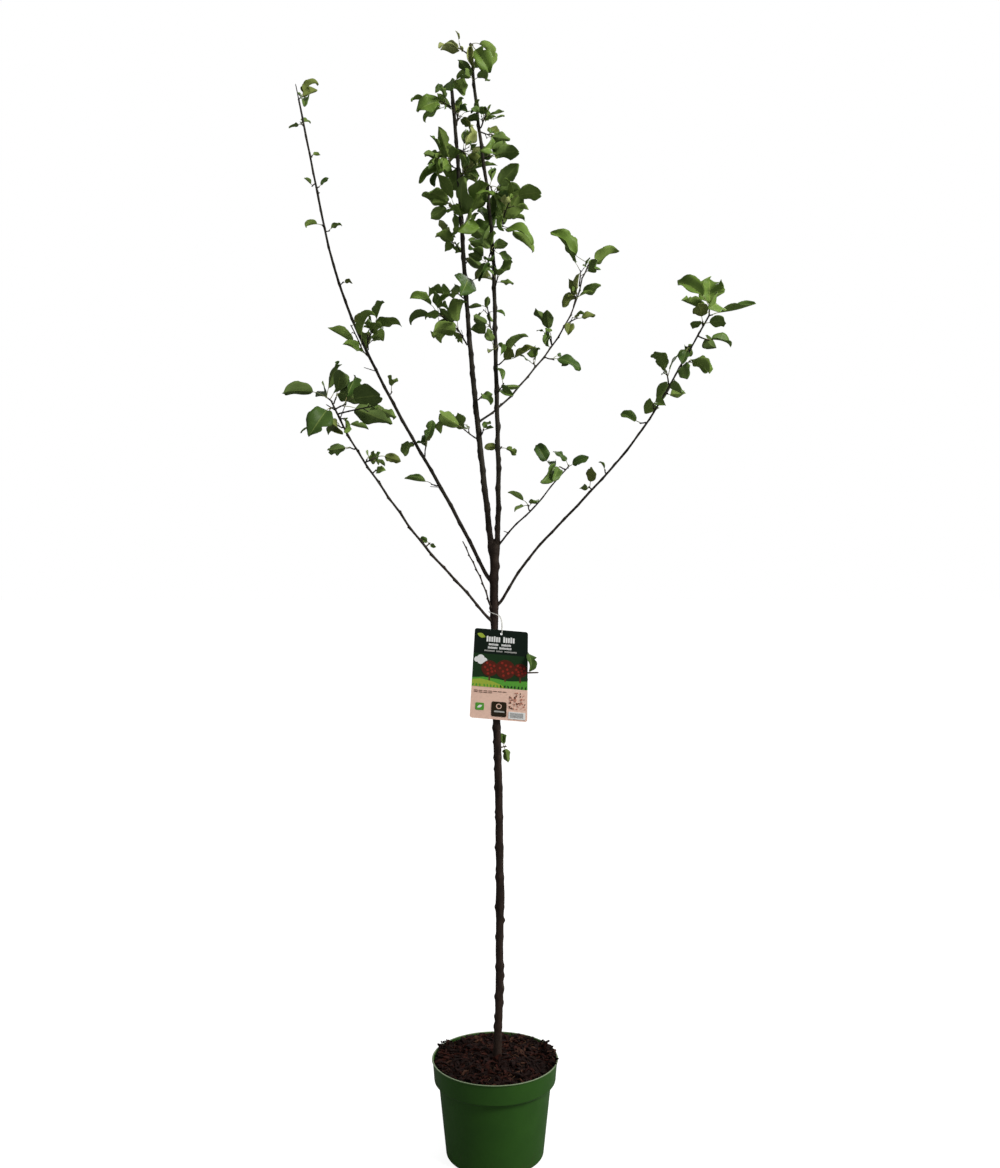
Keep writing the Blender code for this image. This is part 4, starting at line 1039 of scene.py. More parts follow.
BUD_SEED = 77
BUD_LENGTH = (0.0028, 0.0044)
BUD_RADIUS = (0.001, 0.0015)
BUD_WIDEST = 0.8  # share of the limb's radius
BUD_OUT = 0.85  # how far out its foot lies, as a share of the limb's radius
BUD_BLUNT = 2.2
BUD_LEAN = 0.3  # how far a bud leans away from its limb
SPUR_SIDES = 8
SPUR_STEP = 0.002
LEAST_SPUR_STEPS = 4
SPUR_TAPER = 0.35  # share of its radius that a spur loses before its blunt tip
SPUR_TIP = 0.4
# dry spurs and broken side shoots: limb, part, heading, lean, length, radius
SPURS = (
    ("bough_low_left", 0.932, 0, 21, 0.028, 0.0009),
    ("bough_low_left", 0.965, 150, 60, 0.022, 0.0011),
    ("bough_long_left", 0.187, 180, 86, 0.018, 0.0008),
    ("bough_long_left", 0.44, 180, 72, 0.024, 0.0009),
    ("bough_long_left", 0.81, 0, 60, 0.0045, 0.0017),
    ("bough_long_left", 0.995, 170, 12, 0.034, 0.0012),
    ("bough_short_right", 0.125, 180, 70, 0.0085, 0.0009),
    ("trunk", 0.7535, 5, 89, 0.0725, 0.0019),
)


def add_buds(heap, lines):
    """A bud on alternate sides of every limb at each of its steps. The trunk has lost its own."""
    dice = Random(BUD_SEED)
    for name, line in lines.items():
        for bud in range(1, line.buds):
            part = bud / line.buds
            along = line.direction(part)
            side = across(along, line.bud_side(bud, part))
            # drawn for the trunk as well, which keeps the order of the draws
            length = dice.uniform(*BUD_LENGTH)
            radius = min(dice.uniform(*BUD_RADIUS), line.radius(part) * BUD_WIDEST)
            if name != "trunk":
                foot = line.centre(part) + side * line.radius(part) * BUD_OUT
                heading = (along + side * BUD_LEAN).normalized()
                heap.add(*bud_form(foot, heading, length, radius, BUD_BLUNT))


def add_spurs(heap, lines):
    for name, part, heading, lean, length, radius in SPURS:
        foot = lines[name].centre(part)
        tip = leaning(heading, lean) * length
        steps = max(LEAST_SPUR_STEPS, round(length / SPUR_STEP))
        points = [foot + tip * step / steps for step in range(steps + 1)]
        radii = [radius * (1 - SPUR_TAPER * step / steps) for step in range(steps)]
        heap.add(*tube(points, radii + [radius * SPUR_TIP], SPUR_SIDES))


def make_buds(lines, material):
    heap = Heap()
    add_buds(heap, lines)
    add_spurs(heap, lines)
    dress(heap.piece("buds_and_spurs", [material]), "bark")


# ---- twigs ----

TWIG_STEP = 0.0025
TWIG_FOOT_RADIUS = 0.00135
TWIG_END_RADIUS = 0.0009
TWIG_BOW = 0.0007
TWIG_SIDES = 10
SCAR_GAP = 0.009
SCAR_RISE = 0.00028
SCAR_REACH = 0.0011
TIP_BUD_LENGTH = 0.0045
TIP_BUD_RADIUS = 0.0013

# the finer side shoots that the sprays are carried to: each is a lowest and a highest value
SHOOT_GAP = 0.034  # one for this much twig
SHOOT_LENGTH = (0.006, 0.012)
SHOOT_SPREAD = (30, 60)
SHOOT_PART = (0.35, 0.95)
SHOOT_LEAF = (0.011, 0.016)
SHOOT_RADIUS = 0.0007
SHOOT_TAPER = (1.3, 1.0, 0.8)  # share of its radius at its foot, half way and at its tip
SHOOT_SIDES = 6
SHOOT_BUD_LENGTH = 0.0027
SHOOT_BUD_RADIUS = 0.00098
SHOOT_STALK = 0.7  # how thick its leaves' stalks are, against a twig's own
# where the crown is fullest, between these heights on the leaders, shoots are closer and leafier
# each is lowest, highest, one shoot for this much twig
FULL_CROWN = ((1.36, 1.54, 0.014), (1.54, 1.72, 0.0042))
FULL_SHOOT_LEAF = (0.02, 0.036)

# seeds made from a twig's own: its shoots' dice, the shoots' own, its blades' and its tints' dice
SHOOT_DICE = (31, 5)
SHOOT_SEEDS = 17
BLADE_SEEDS = 100
TINT_DICE = 9000

# single shoots that stand by themselves: twig, heading, lean, reach, leaves, length of a leaf, seed
LONE_SHOOTS = (
    ("trunk_2", 20, 90, 0.004, 1, 0.03, 22),
    ("trunk_1", 345, 150, 0.016, 1, 0.03, 10),
)
LONE_SHOOT_PART = 0.6  # of its twig


def twig_form(points, bow):
    """Corners and faces of a twig with the rings that old leaves left on it."""
    route = []
    for low, high in zip(points, points[1:]):
        steps = max(1, round((high - low).length / TWIG_STEP))
        route += [low.lerp(high, step / steps) for step in range(steps)]
    route.append(points[-1])
    count = len(route) - 1
    sideways = across((route[-1] - route[0]).normalized(), bow)
    route = [point + sideways * TWIG_BOW * sin(pi * place / count)
             for place, point in enumerate(route)]
    radii = []
    for place, point in enumerate(route):
        part = place / count
        radius = TWIG_FOOT_RADIUS + (TWIG_END_RADIUS - TWIG_FOOT_RADIUS) * part
        scar = ((point - route[0]).length + SCAR_GAP / 2) % SCAR_GAP - SCAR_GAP / 2
        radii.append(radius + SCAR_RISE * exp(-((scar / SCAR_REACH) ** 2)))
    return tube(route, radii, TWIG_SIDES)


def shoots_of(twig, root, direction):
    """The finer shoots of one twig, dealt by the same golden turn, as twigs with roots of their own."""
    dice = Random(twig.seed * SHOOT_DICE[0] + SHOOT_DICE[1])
    sideways = across(direction, off_axis(direction))
    phase = dice.uniform(0, 2 * pi)
    gap, leaf_size = SHOOT_GAP, SHOOT_LEAF
    for lowest, highest, close_gap in FULL_CROWN:
        if twig.on.startswith("leader") and lowest < root.z < highest:
            gap, leaf_size = close_gap, FULL_SHOOT_LEAF
    shoots = []
    for index in range(round(twig.reach / gap)):
        outward = sideways.copy()
        outward.rotate(Matrix.Rotation(phase + index * radians(GOLDEN_TURN), 3, direction))
        spread = radians(dice.uniform(*SHOOT_SPREAD))
        heading = (direction * cos(spread) + outward * sin(spread)).normalized()
        foot = root + direction * twig.reach * dice.uniform(*SHOOT_PART)
        reach = dice.uniform(*SHOOT_LENGTH)
        shoot = twig._replace(reach=reach, leaves=dice.choice((1, 2)), leaf=dice.uniform(*leaf_size),
                              seed=twig.seed * SHOOT_SEEDS + index)
        shoots.append((shoot, foot, heading))
    for name, turn, lean, reach, leaves, leaf, seed in LONE_SHOOTS:
        if name == twig.name:
            shoot = twig._replace(reach=reach, leaves=leaves, leaf=leaf, seed=seed)
            shoots.append((shoot, root + direction * twig.reach * LONE_SHOOT_PART, leaning(turn, lean)))
    return shoots


# ---- leaves ----

BLADE_STEPS = 28
RIB_EDGE = 0.045  # half of the midrib's strip, as a share of half the blade
BLADE_LANES = (-1.0, -0.66, -0.3, -RIB_EDGE, RIB_EDGE, 0.3, 0.66, 1.0)
RIB_LANE = 3  # the strip between the two middle lanes
BLADE_SKIN = 0.0002  # half of a blade's thickness
RIB_STAND = 0.0005
RIB_GROOVE = 0.0003
LEAST_WIDTH = 0.03
BLADE_SPREAD = 1.03
BLADE_FULLNESS = 0.84  # below 1 the blade is fuller towards its two ends
POINT_FROM = 0.76  # the part of the blade from which it draws out into its tip
POINT_NARROW = 0.38  # how much narrower it gets there
TOOTH = 0.05
TOOTH_WANDER = 0.03
PUCKER = 0.036  # how far the blade bulges up between its side veins, as a share of its width
VEINS = 7
VEIN_SLANT = 0.28
# how one blade differs from the next: each is a lowest and a highest value
WAVE = (0.04, 0.15)  # share of the blade's width
WAVE_TURNS = (6, 13)
LOBE = (0.02, 0.08)  # how far the outline wanders in and out, as a share of the half width
LOBE_TURNS = (6, 15)
LOBE_SHIFT = 2.3  # between a blade's two edges
TWIST = (-32, 32)
CUP = (-40, 70)  # how far the halves roll up or down towards the edge
LOPSIDED = (0.86, 1.08)
TIP_HOOK = (-20, 55)
HOOK_FROM = 0.6
BITTEN_SHARE = 0.4
BITE = (0.18, 0.5)
BITE_PLACE = (0.25, 0.9)
BITE_REACH = (0.045, 0.1)
STALK_STEPS = 7
STALK_SIDES = 6
STALK_FOOT_RADIUS = 0.0007
STALK_END_RADIUS = 0.00045
STALK_ARRIVE = 0.45  # how much of the stalk swings into the blade's own direction
STALK_UNDER = 0.003  # how far the stalk runs on under the blade

# tints in linear light: upper face, its cloudy second colour
LEAF_TINTS = {
    "fresh": ((0.135, 0.22, 0.038), (0.098, 0.165, 0.028)),
    "mid": ((0.104, 0.176, 0.036), (0.072, 0.13, 0.026)),
    "deep": ((0.056, 0.106, 0.02), (0.034, 0.072, 0.014)),
    "olive": ((0.142, 0.178, 0.036), (0.096, 0.126, 0.025)),
    "pale": ((0.32, 0.36, 0.13), (0.22, 0.25, 0.075)),
}
# sprays that are mostly of one tint; the rest are mid
SPRAY_TINTS = {
    # deep on short_right_2, short_right_3, high_right_2, high_right_3 and low_left_6 is painted shade
    "deep": (
        "low_left_7", "low_left_9", "low_left_8", "right_8", "leader_right_7", "leader_right_5",
        "leader_left_7", "low_left_6", "short_right_2", "short_right_3", "high_right_2", "high_right_3",
        "trunk_1",
    ),
    # fresh on long_left_5, long_left_6 and long_left_6b is painted light on sprays that lie in shade
    "fresh": (
        "leader_right_14", "leader_left_1", "leader_left_4", "leader_left_14", "leader_right_9",
        "leader_left_8", "leader_left_9", "leader_left_10", "leader_left_11", "leader_right_11",
        "leader_right_9b", "right_11", "right_4", "high_right_7", "long_left_9", "leader_left_5",
        "long_left_5", "long_left_6", "long_left_6b",
    ),
    "olive": (
        "long_left_7", "long_left_14", "high_right_4", "high_right_5", "leader_right_3", "low_left_5",
    ),
    "pale": (
        "leader_right_15", "leader_left_12",
    ),
}
# what a leaf may turn to instead of its spray's own tint
STRAY_TINTS = {
    "fresh": ("mid", "mid", "fresh", "pale"),
    "mid": ("deep", "fresh", "olive", "fresh"),
    "deep": ("mid", "mid", "deep"),
    "olive": ("mid", "pale", "fresh"),
    "pale": ("fresh", "olive", "fresh"),
}
STRAY_SHARE = 0.3
SPRAY_TINT = {spray: tint for tint, sprays in SPRAY_TINTS.items() for spray in sprays}


class Blade:
    """How one leaf's blade is bent: folded, curled, twisted, cupped, waved and sometimes bitten."""

    def __init__(self, leaf, seed):
        dice = Random(seed)
        self.leaf = leaf
        self.frame = blade_frame(leaf)
        self.depth = dice.uniform(*WAVE) * leaf.width
        self.turns = dice.uniform(*WAVE_TURNS)
        self.phase = dice.uniform(0, 2 * pi)
        self.twist = radians(dice.uniform(*TWIST))
        self.cup = radians(dice.uniform(*CUP))
        self.lobe = dice.uniform(*LOBE)
        self.lobe_turns = dice.uniform(*LOBE_TURNS)
        self.hook = radians(dice.uniform(*TIP_HOOK))
        self.halves = (dice.uniform(*LOPSIDED), dice.uniform(*LOPSIDED))
        self.bite = dice.uniform(*BITE) if dice.random() < BITTEN_SHARE else 0.0
        self.bite_side = dice.choice((-1, 1))
        self.bite_place = dice.uniform(*BITE_PLACE)
        self.bite_reach = dice.uniform(*BITE_REACH)
        self.teeth = [1 - TOOTH * (step % 2) + dice.uniform(-TOOTH_WANDER, TOOTH_WANDER)
                      for step in range(2 * BLADE_STEPS + 2)]
        self.spine = [(0.0, 0.0, 0.0)]
        stride = leaf.length / BLADE_STEPS
        for step in range(BLADE_STEPS):
            part = (step + 0.5) / BLADE_STEPS
            bend = leaf.curl * part + self.hook * ramp(part, HOOK_FROM, 1.0)
            x, z, _ = self.spine[-1]
            self.spine.append((x + stride * cos(bend), z - stride * sin(bend), bend))

    def edge_share(self, part, side, step):
        """How far a lane reaches towards the full half width, with teeth, bites and unequal halves."""
        share = side * self.halves[side > 0]
        shift = self.phase * 2 + LOBE_SHIFT * (side > 0)
        share *= 1 + self.lobe * abs(side) * sin(self.lobe_turns * part + shift)
        share *= 1 - POINT_NARROW * ramp(part, POINT_FROM, 1.0)
        if abs(side) == 1 and 0 < step < BLADE_STEPS:
            share *= self.teeth[2 * step + (side > 0)]
        if self.bite and side * self.bite_side > 0:
            near = exp(-(((part - self.bite_place) / self.bite_reach) ** 2))
            share *= 1 - self.bite * near * abs(side)
        return share

    def place(self, step, side, skin):
        """A point of the blade: step along it, side -1 to 1 from its right edge to its left, and
        skin 1 on its upper face and -1 under it."""
        leaf = self.leaf
        part = step / BLADE_STEPS
        x, z, bend = self.spine[step]
        share = self.edge_share(part, side, step)
        full = leaf.width / 2 * max(half_width(part) ** BLADE_FULLNESS, LEAST_WIDTH)
        reach = BLADE_SPREAD * abs(share) * full
        facing = 1 if side > 0 else -1
        tilt = leaf.fold + self.cup * abs(share) / 2 + self.twist * part * facing
        edge = abs(side)
        inside = 1.0 if 0 < step < BLADE_STEPS else 0.0
        wave = self.depth * edge**2 * sin(self.turns * part + self.phase + side) * inside
        bulge = 2 * abs(sin(pi * VEINS * (part - VEIN_SLANT * edge * 0.5))) - 1
        wave += PUCKER * leaf.width * bulge * edge * (1 - edge)
        stand = skin * BLADE_SKIN
        if edge == RIB_EDGE:
            stand -= RIB_GROOVE if skin > 0 else RIB_STAND * (1 - part)
        wide = reach * cos(tilt) - (stand + wave) * sin(tilt)
        high = reach * sin(tilt) + (stand + wave) * cos(tilt)
        return self.frame @ Vector((x + high * sin(bend), facing * wide, z + high * cos(bend)))


def leaf_form(leaf, seed):
    """Corners, faces and finish of each face of a blade: upper face 0, underside 1, midrib 2."""
    blade = Blade(leaf, seed)
    lanes = len(BLADE_LANES)
    steps = range(BLADE_STEPS + 1)
    verts = [blade.place(step, side, skin)
             for skin in (1, -1) for step in steps for side in BLADE_LANES]
    under = len(verts) // 2
    faces = []
    finishes = []
    for step in range(BLADE_STEPS):
        for lane in range(lanes - 1):
            low = step * lanes + lane
            face = (low, low + lanes, low + lanes + 1, low + 1)
            faces += [face, tuple(under + corner for corner in reversed(face))]
            finishes += [2, 2] if lane == RIB_LANE else [0, 1]
        for low in (step * lanes, step * lanes + lanes - 1):
            face = (low, under + low, under + low + lanes, low + lanes)
            faces.append(face if low % lanes == 0 else tuple(reversed(face)))
            finishes.append(0)
    for step in (0, BLADE_STEPS):
        for lane in range(lanes - 1):
            low = step * lanes + lane
            face = (low, low + 1, under + low + 1, under + low)
            faces.append(face if step == 0 else tuple(reversed(face)))
            finishes.append(0)
    return verts, faces, finishes


def stalk_form(leaf, scale):
    """Corners and faces of the stalk that carries a blade, curved into the blade's own direction."""
    length = (leaf.base - leaf.start).length
    arrive = leaf.base - leaf.direction * length * STALK_ARRIVE
    points = bend_path(leaf.start, arrive, leaf.base, STALK_STEPS)
    points.append(leaf.base + leaf.direction * min(STALK_UNDER, leaf.length * 0.1))
    last = len(points) - 1
    radii = [scale * (STALK_FOOT_RADIUS + (STALK_END_RADIUS - STALK_FOOT_RADIUS) * place / last)
             for place in range(last + 1)]
    return tube(points, radii, STALK_SIDES)


def tint_of(spray, dice):
    own = SPRAY_TINT.get(spray, "mid")
    if dice.random() < STRAY_SHARE:
        return dice.choice(STRAY_TINTS[own])
    return own


def mass_of(twig, lines, masses):
    """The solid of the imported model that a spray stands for."""
    if twig.on in masses:
        return masses[twig.on]
    if twig.part >= lines[twig.on].bare:
        return "leaves_" + twig.on + "_tip"
    return "leaves_" + twig.name


def make_sprays(lines, bark, stalk_material, leaf_materials):
    """Every twig, shoot, stalk and leaf, joined each kind apart and leaves apart by tint."""
    twigs = Heap()
    stalks = Heap()
    blades = {tint: Heap() for tint in LEAF_TINTS}
    filled = {tint: set() for tint in LEAF_TINTS}
    roots = {}
    masses = {}
    for twig in TWIGS:
        root, direction, points = twig_path(twig, lines, roots)
        mass = masses[twig.name] = mass_of(twig, lines, masses)
        dice = Random(twig.seed + TINT_DICE)
        bow = leaning(dice.uniform(0, 360), 90)
        twigs.add(*twig_form(points, bow))
        twigs.add(*bud_form(points[-1], direction, TIP_BUD_LENGTH, TIP_BUD_RADIUS), 1)
        grown = [(twig, root, direction, 1.0)]
        for shoot, foot, heading in shoots_of(twig, root, direction):
            end = foot + heading * shoot.reach
            radii = [SHOOT_RADIUS * share for share in SHOOT_TAPER]
            twigs.add(*tube([foot, foot.lerp(end, 0.5), end], radii, SHOOT_SIDES))
            twigs.add(*bud_form(end, heading, SHOOT_BUD_LENGTH, SHOOT_BUD_RADIUS), 1)
            grown.append((shoot, foot, heading, SHOOT_STALK))
        for carrier, foot, heading, scale in grown:
            for index, leaf in enumerate(deal_leaves(carrier, foot, heading)):
                tint = tint_of(twig.name, dice)
                blades[tint].add(*leaf_form(leaf, carrier.seed * BLADE_SEEDS + index))
                stalks.add(*stalk_form(leaf, scale))
                filled[tint].add(mass)
    nodes = sorted(set(masses.values()))
    dress(twigs.piece("twigs", bark), "bark", *nodes)
    dress(stalks.piece("leaf_stalks", [stalk_material]), "foliage", *nodes)
    for tint, heap in blades.items():
        dress(heap.piece("leaves_" + tint, leaf_materials[tint]), "foliage", *sorted(filled[tint]))


# ---- pot ----

POT_SHARP = 38  # edges sharper than this aren't shaded smooth
LIP_STEPS = 10
COLLAR_ROUND = 0.0012
BASE_ROUND_STEPS = 8
PRESS_RING_RADIUS = 0.052  # a ring pressed into the underside
PRESS_RING_RISE = 0.0012
PRESS_RING_SLOPE = 0.002


def arc(middle, radius, start, end, steps):
    """Points on a part of a circle, as (radius, height), between two turns in degrees."""
    points = []
    for step in range(steps + 1):
        turn = radians(start + (end - start) * step / steps)
        points.append((middle[0] + radius * cos(turn), middle[1] + radius * sin(turn)))
    return points


def pot_profile():
    """The pot's section: underside, rounded foot, body, deep collar, rolled lip and the inside."""
    lip = LIP_HEIGHT / 2
    wall = POT_WALL
    outside = [
        (0, PRESS_RING_RISE),
        (PRESS_RING_RADIUS - PRESS_RING_SLOPE, PRESS_RING_RISE),
        (PRESS_RING_RADIUS, 0),
        *arc((BASE_RADIUS - BASE_EDGE, BASE_EDGE), BASE_EDGE, -90, 0, BASE_ROUND_STEPS),
        (BODY_TOP_RADIUS - 0.0004, BODY_TOP - 0.003),
        (BODY_TOP_RADIUS, BODY_TOP - 0.001),
        (BODY_TOP_RADIUS + 0.0012, BODY_TOP + 0.0004),
        (COLLAR_RADIUS - COLLAR_ROUND, COLLAR_FOOT - COLLAR_ROUND * 0.7),
        (COLLAR_RADIUS - 0.0002, COLLAR_FOOT + 0.0002),
        (COLLAR_RADIUS, COLLAR_FOOT + 0.0016),
        (COLLAR_TOP_RADIUS, POT_HEIGHT - LIP_HEIGHT - 0.0006),
        *arc((LIP_RADIUS - lip, POT_HEIGHT - lip), lip, -60, 100, LIP_STEPS),
    ]
    inside = [
        (COLLAR_TOP_RADIUS - wall * 0.6, POT_HEIGHT - 0.0002),
        (COLLAR_TOP_RADIUS - wall, POT_HEIGHT - 0.001),
        (COLLAR_RADIUS - wall, COLLAR_FOOT + wall),
        (BODY_TOP_RADIUS - wall, BODY_TOP + wall * 0.3),
        (BASE_RADIUS - wall, BASE_EDGE + wall),
        (BASE_RADIUS - BASE_EDGE - wall * 0.5, POT_FLOOR),
        (PRESS_RING_RADIUS, POT_FLOOR),
        (PRESS_RING_RADIUS - PRESS_RING_SLOPE, POT_FLOOR + PRESS_RING_RISE),
        (0, POT_FLOOR + PRESS_RING_RISE),
    ]
    return outside + inside


def make_drain_cutter():
    """The arched slots round the bottom corner, as one form."""
    section = [(-DRAIN_WIDTH / 2, -DRAIN_BELOW), (DRAIN_WIDTH / 2, -DRAIN_BELOW)]
    for step in range(DRAIN_ARCH_STEPS + 1):
        turn = pi * step / DRAIN_ARCH_STEPS
        rise = (DRAIN_HEIGHT - DRAIN_SPRING) * sin(turn)
        section.append((DRAIN_WIDTH / 2 * cos(turn), DRAIN_SPRING + rise))
    heap = Heap()
    for drain in range(DRAINS):
        turn = Matrix.Rotation(radians(360 / DRAINS * drain + DRAIN_TURN), 3, "Z")
        verts = [turn @ Vector((reach, wide, high))
                 for reach in (DRAIN_INNER, LIP_RADIUS) for wide, high in section]
        heap.add(verts, tube_faces(2, len(section)))
    return heap.piece("drain_cutter", [], smooth=False)


def make_pot(material):
    pot = turned("pot_shell", pot_profile(), POT_SIDES, material)
    apply_difference(pot, make_drain_cutter())
    pot.data.shade_smooth()
    pot.data.set_sharp_from_angle(angle=radians(POT_SHARP))
    dress(pot, "pot_plastic", "pot")


# ---- soil, bark chips and fibres ----

SOIL_RINGS = 46
SOIL_SIDES = 132
SOIL_LUMPS = ((38, 0.003), (110, 0.0018), (320, 0.0009))  # noise scale and height
# where the soil lies higher along the wall: heading, rise, half width in degrees
SOIL_BANKS = ((90, 0.0058, 75), (15, 0.0035, 40), (165, 0.0035, 35))
SOIL_BANK_REACH = 0.04  # how far in from the wall a bank runs out
SOIL_CALM = (0.008, 0.02)  # the lumps grow between these radii
SOIL_CALM_SHARE = 0.25  # how high they still are inside
MULCH_SEED = 204
CHIPS = 1150
CHIP_LENGTH = (0.006, 0.025)
CHIP_SHARE = (0.11, 0.33)  # width as a share of length
CHIP_THICKNESS = (0.0009, 0.0024)
CHIP_TILT = 30
CHIP_REACH = 0.985  # share of the soil's radius
CHIP_HOLE = 0.008  # share of its area, round the trunk
CHIP_BOW = (-0.15, 0.25)  # share of length
CHIP_END = (0.45, 0.85)  # share of width
CHIP_SHAKE = 0.12  # share of width
CHIP_RISE = (0.0, 0.7)  # share of thickness
CHIP_TINTS = (0.64, 0.29, 0.07)  # share of dark, red and tan chips
CRUMBS = 420
CRUMB_REACH = 0.99
CRUMB_RADIUS = (0.0007, 0.0022)
CRUMB_SHAKE = (0.385, 0.77)  # how far out a corner lies, as a share of the radius
CRUMB_RISE = (0.1, 0.7)
FIBRES = 130
FIBRE_LENGTH = (0.012, 0.034)
FIBRE_RADIUS = (0.00018, 0.0004)
FIBRE_PLACE = 0.9
FIBRE_BEND = 1.2  # radians, end to end
FIBRE_STEPS = 8
FIBRE_SIDES = 5
FIBRE_RISE = 0.0016
FIBRE_WAVE = (0.001, 9)  # how high it rises and falls, and its turn in radians, end to end
STRAW_SHARE = 0.25
# chips heaped against the rim: heading, how far over it they lie, how many
RIM_HEAPS = ((4, 0.0044, 26), (349, 0.0044, 24), (20, 0.003, 16), (153, 0.0022, 12), (166, 0.001, 8))
RIM_HEAP_SPREAD = 10
RIM_HEAP_PLACE = (0.9, 0.99)  # share of the soil's radius
RIM_HEAP_DEPTH = (0.3, 1)  # share of how far over it they lie
RIM_HEAP_LIFT = 0.004
HEAPED_LENGTH = 0.7  # share of a chip's usual length
HEAPED_TILT = 48


def soil_edge():
    """Radius at which the soil meets the wall, at the height where it does."""
    wall = COLLAR_TOP_RADIUS - POT_WALL - SOIL_CLEARANCE
    lean_in = (COLLAR_TOP_RADIUS - COLLAR_RADIUS) / (POT_HEIGHT - LIP_HEIGHT - COLLAR_FOOT)
    return wall - (POT_HEIGHT - SOIL_AT_WALL) * lean_in - GAP


def soil_height(x, y):
    """The lumpy top of the soil: highest at the trunk and lowest at the wall."""
    edge = soil_edge()
    radius = min(sqrt(x * x + y * y), edge)
    part = min((edge - radius) / (edge - SOIL_FLAT_RADIUS), 1.0)
    height = SOIL_AT_WALL + (SOIL_TOP - SOIL_AT_WALL) * sin(pi / 2 * part)
    turn = degrees(atan2(y, x)) % 360
    near_wall = ramp(radius, edge - SOIL_BANK_REACH, edge)
    for heading, rise, reach in SOIL_BANKS:
        aside = (turn - heading + 180) % 360 - 180
        height += rise * near_wall * exp(-((aside / reach) ** 2))
    calm = SOIL_CALM_SHARE + (1 - SOIL_CALM_SHARE) * ramp(radius, *SOIL_CALM)
    for scale, rise in SOIL_LUMPS:
        height += calm * rise * noise.noise(Vector((x, y, 0.37)) * scale)
    return height


def polar(radius, turn):
    """Place over the ground at a radius and a turn in radians."""
    return radius * cos(turn), radius * sin(turn)


def make_soil(material):
    """The root ball: its lumpy top and its plain sides inside the pot."""
    clear = POT_WALL + SOIL_CLEARANCE * 2
    rings = [(soil_edge() * ring / SOIL_RINGS, None) for ring in range(1, SOIL_RINGS + 1)]
    rings += [
        (COLLAR_RADIUS - clear, COLLAR_FOOT + POT_WALL),
        (BODY_TOP_RADIUS - clear, BODY_TOP),
        (BASE_RADIUS - clear, BASE_EDGE + POT_WALL + SOIL_CLEARANCE),
        (BASE_RADIUS - BASE_EDGE - clear, POT_FLOOR + PRESS_RING_RISE + SOIL_CLEARANCE),
    ]
    verts = [(0, 0, soil_height(0, 0))]
    for radius, height in rings:
        for side in range(SOIL_SIDES):
            x, y = polar(radius, 2 * pi * side / SOIL_SIDES)
            verts.append((x, y, soil_height(x, y) if height is None else height))
    _, *skin_and_foot = turned_over(tube_faces(len(rings), SOIL_SIDES))
    faces = [(0, 1 + side, 1 + (side + 1) % SOIL_SIDES) for side in range(SOIL_SIDES)]
    faces += [tuple(1 + corner for corner in face) for face in skin_and_foot]
    heap = Heap()
    heap.add(verts, faces)
    dress(heap.piece("soil", [material]), "soil", "root_ball")


def chip_form(place, frame, length, width, thickness, dice):
    """A splintered chip of bark: a bent slab with ragged ends."""
    verts = []
    bow = dice.uniform(*CHIP_BOW) * length
    for step in range(4):
        along = (step / 3 - 0.5) * length
        wide = width * (1 if step in (1, 2) else dice.uniform(*CHIP_END)) / 2
        sag = bow * (1 - (2 * step / 3 - 1) ** 2)
        for side, skin in ((-1, -1), (1, -1), (1, 1), (-1, 1)):
            shake = Vector([dice.uniform(-CHIP_SHAKE, CHIP_SHAKE) * width for _ in range(3)])
            corner = Vector((along, side * wide, sag + skin * thickness / 2)) + shake
            verts.append(place + frame @ corner)
    return verts, tube_faces(4, 4)


def lying_frame(dice, tilt):
    """A turned frame whose upper side leans from the vertical by up to tilt."""
    turn = Matrix.Rotation(dice.uniform(0, 2 * pi), 3, "Z")
    lean = Matrix.Rotation(radians(dice.uniform(-tilt, tilt)), 3, "Y")
    roll = Matrix.Rotation(radians(dice.uniform(-tilt, tilt)), 3, "X")
    return turn @ lean @ roll


def crumb_form(place, radius, dice):
    """A crumb of soil, as a rough block with eight shaken corners."""
    corners = []
    for ways in product((-1, 1), repeat=3):
        shake = Vector([dice.uniform(*CRUMB_SHAKE) * way for way in ways])
        corners.append(place + shake * radius)
    faces = [(0, 1, 3, 2), (4, 6, 7, 5), (0, 4, 5, 1), (2, 3, 7, 6), (0, 2, 6, 4), (1, 5, 7, 3)]
    return corners, faces


def strewn(dice, reach, hole=0.0):
    """A place on the soil, evenly strewn. reach is a share of its radius, and hole of its area."""
    radius = soil_edge() * reach * sqrt(dice.uniform(hole, 1))
    return polar(radius, dice.uniform(0, 2 * pi))


def chip_places(dice):
    """Where chips lie: x, y and how far they are heaped up over the soil."""
    places = [(*strewn(dice, CHIP_REACH, CHIP_HOLE), 0.0) for _ in range(CHIPS)]
    for heading, over, count in RIM_HEAPS:
        for _ in range(count):
            turn = radians(heading + dice.uniform(-RIM_HEAP_SPREAD, RIM_HEAP_SPREAD))
            x, y = polar(soil_edge() * dice.uniform(*RIM_HEAP_PLACE), turn)
            places.append((x, y, over * dice.uniform(*RIM_HEAP_DEPTH) + RIM_HEAP_LIFT))
    return places


def add_chips(heap, dice):
    """Bark chips all over the soil. One that would stick out through the wall lies further in."""
    edge = soil_edge()
    for x, y, lift in chip_places(dice):
        length = dice.uniform(*CHIP_LENGTH) * (HEAPED_LENGTH if lift else 1)
        width = length * dice.uniform(*CHIP_SHARE)
        thickness = dice.uniform(*CHIP_THICKNESS)
        radius = sqrt(x * x + y * y)
        if not lift and radius + length / 2 > edge:
            x, y = (value * (edge - length / 2) / radius for value in (x, y))
        height = soil_height(x, y) + lift + thickness * dice.uniform(*CHIP_RISE)
        finish = dice.choices((0, 1, 2), CHIP_TINTS)[0]
        frame = lying_frame(dice, HEAPED_TILT if lift else CHIP_TILT)
        heap.add(*chip_form(Vector((x, y, height)), frame, length, width, thickness, dice), finish)


